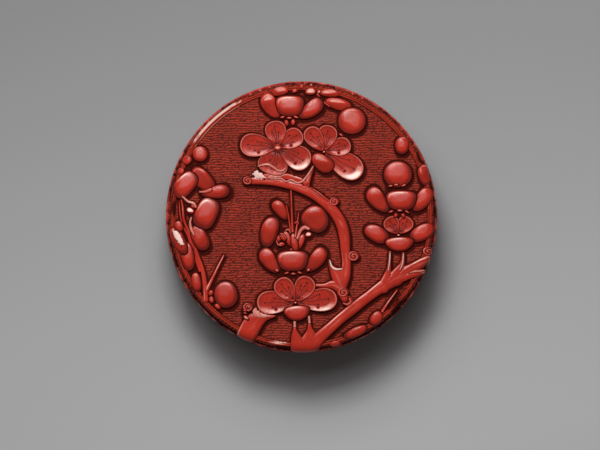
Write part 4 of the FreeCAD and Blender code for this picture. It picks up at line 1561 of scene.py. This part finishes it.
class LACQUER_OT_carving(bpy.types.Operator):
    """Make the flowers, buds, branches and stems carved on the lid"""
    bl_idname = "lacquer.carving"
    bl_label = "Lid Carving"

    def execute(self, context):
        settings = context.scene.lacquer_carving
        fronts = []
        for name in FRONT_ORDER:
            step = (settings.petal_step if name.startswith("open_flower") else settings.step) / MM
            piece = relief(f"carved_{name}", carved_parts(name, fronts, step, over_lid))
            dress(piece, "lid", "red_carving", finish_of(context, "carved_red"), f"lid_{name}")
        return {"FINISHED"}


class LACQUER_OT_sprigs(bpy.types.Operator):
    """Make the sprigs carved round the sides of lid and base"""
    bl_idname = "lacquer.sprigs"
    bl_label = "Side Carving"

    def execute(self, context):
        settings = context.scene.lacquer_carving
        fronts, parts = [], []
        for name in SPRIG_ORDER:
            parts += carved_parts(name, fronts, settings.side_step / MM, flat)
        group = sprig_group()
        material = finish_of(context, "carved_red")
        for body, lowest, highest in (
            ("lid", SEAM + BAND + BAND_SLOPE, SHOULDER_FOOT),
            ("base", FOOT_HEIGHT + BASE_TURN, SEAM - BAND - BAND_SLOPE),
        ):
            piece = baked(relief(f"carved_sprigs_of_{body}", parts), group, {
                "Count": settings.side_sprigs, "Radius": GROUND * MM, "Level": (lowest + highest) / 2 * MM,
                "Start": sprig_start(body), "Material": material})
            dress(piece, body, "red_carving", material)
        return {"FINISHED"}


class LACQUER_OT_stage(bpy.types.Operator):
    """Make the floor, the lamps and the camera"""
    bl_idname = "lacquer.stage"
    bl_label = "Stage"

    def execute(self, context):
        settings = context.scene.lacquer_stage
        mesh = bpy.data.meshes.new("floor")
        reworked(mesh, lambda build: bmesh.ops.create_grid(
            build, x_segments=1, y_segments=1, size=FLOOR_HALF))
        mesh.materials.append(floor_paper("floor_paper", settings.floor))
        floor = new_object("floor", mesh)

        world = bpy.data.worlds.new("studio")
        context.scene.world = world
        world.use_nodes = True
        world.node_tree.nodes.clear()
        tree = Tree(world.node_tree)
        background = tree.add("ShaderNodeBackground", None, {"Color": (1, 1, 1, 1), "Strength": SKY})
        tree.add("ShaderNodeOutputWorld", None, {"Surface": background})

        for name, place, size, power in (
            ("key", (-0.034, 0.215, 0.50), 0.13, settings.key),
            ("overhead", (-0.045, 0.205, 0.465), 0.30, settings.overhead),
        ):
            lamp = bpy.data.lights.new(name, "AREA")
            lamp.shape = "SQUARE"
            lamp.size = size
            lamp.energy = power
            holder = new_object(name, lamp)
            holder.location = place
            aim = -holder.location.normalized()
            holder.rotation_euler = aim.to_track_quat("-Z", "Y").to_euler()

        camera = bpy.data.cameras.new("camera")
        camera.sensor_width = 36
        distance = settings.camera_distance
        camera.lens = camera.sensor_width * distance / (VIEW_WIDTH * MM)
        camera.clip_end = 10
        holder = new_object("camera", camera)
        lean = math.radians(CAMERA_LEAN)
        x, y = VIEW_MIDDLE
        back, up = distance * math.sin(lean), distance * math.cos(lean)
        holder.location = (x * MM, y * MM - back, SEAM * MM + up)
        holder.rotation_euler = (lean, 0, 0)
        context.scene.camera = holder
        context.scene.view_settings.view_transform = "Standard"
        return {"FINISHED"}


class LACQUER_PT_panel(bpy.types.Panel):
    """Sizes, colours and steps of the lacquer box"""
    bl_idname = "LACQUER_PT_panel"
    bl_label = "Lacquer Box"
    bl_space_type = "VIEW_3D"
    bl_region_type = "UI"
    bl_category = "Lacquer Box"

    def draw(self, context):
        scene = context.scene
        for settings in (scene.lacquer_carving, scene.lacquer_finish, scene.lacquer_stage):
            box = self.layout.box()
            for name in settings.__annotations__:
                box.prop(settings, name)
        for operator in OPERATORS:
            self.layout.operator(operator.bl_idname)


OPERATORS = (
    LACQUER_OT_stage, LACQUER_OT_turned, LACQUER_OT_coats,
    LACQUER_OT_ripples, LACQUER_OT_carving, LACQUER_OT_sprigs)
GROUPS = (CarvingSettings, FinishSettings, StageSettings)


def register():
    """Registers the classes and hangs their settings on the scene."""
    for item in (*GROUPS, *OPERATORS, LACQUER_PT_panel):
        bpy.utils.register_class(item)
    bpy.types.Scene.lacquer_carving = PointerProperty(type=CarvingSettings)
    bpy.types.Scene.lacquer_finish = PointerProperty(type=FinishSettings)
    bpy.types.Scene.lacquer_stage = PointerProperty(type=StageSettings)


def unregister():
    """Takes off what register put on."""
    del bpy.types.Scene.lacquer_stage
    del bpy.types.Scene.lacquer_finish
    del bpy.types.Scene.lacquer_carving
    for item in (LACQUER_PT_panel, *reversed(OPERATORS), *reversed(GROUPS)):
        bpy.utils.unregister_class(item)


def main():
    """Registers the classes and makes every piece."""
    register()
    bpy.ops.lacquer.stage()
    bpy.ops.lacquer.turned()
    bpy.ops.lacquer.coats()
    bpy.ops.lacquer.ripples()
    bpy.ops.lacquer.carving()
    bpy.ops.lacquer.sprigs()


if __name__ == "__main__":
    main()
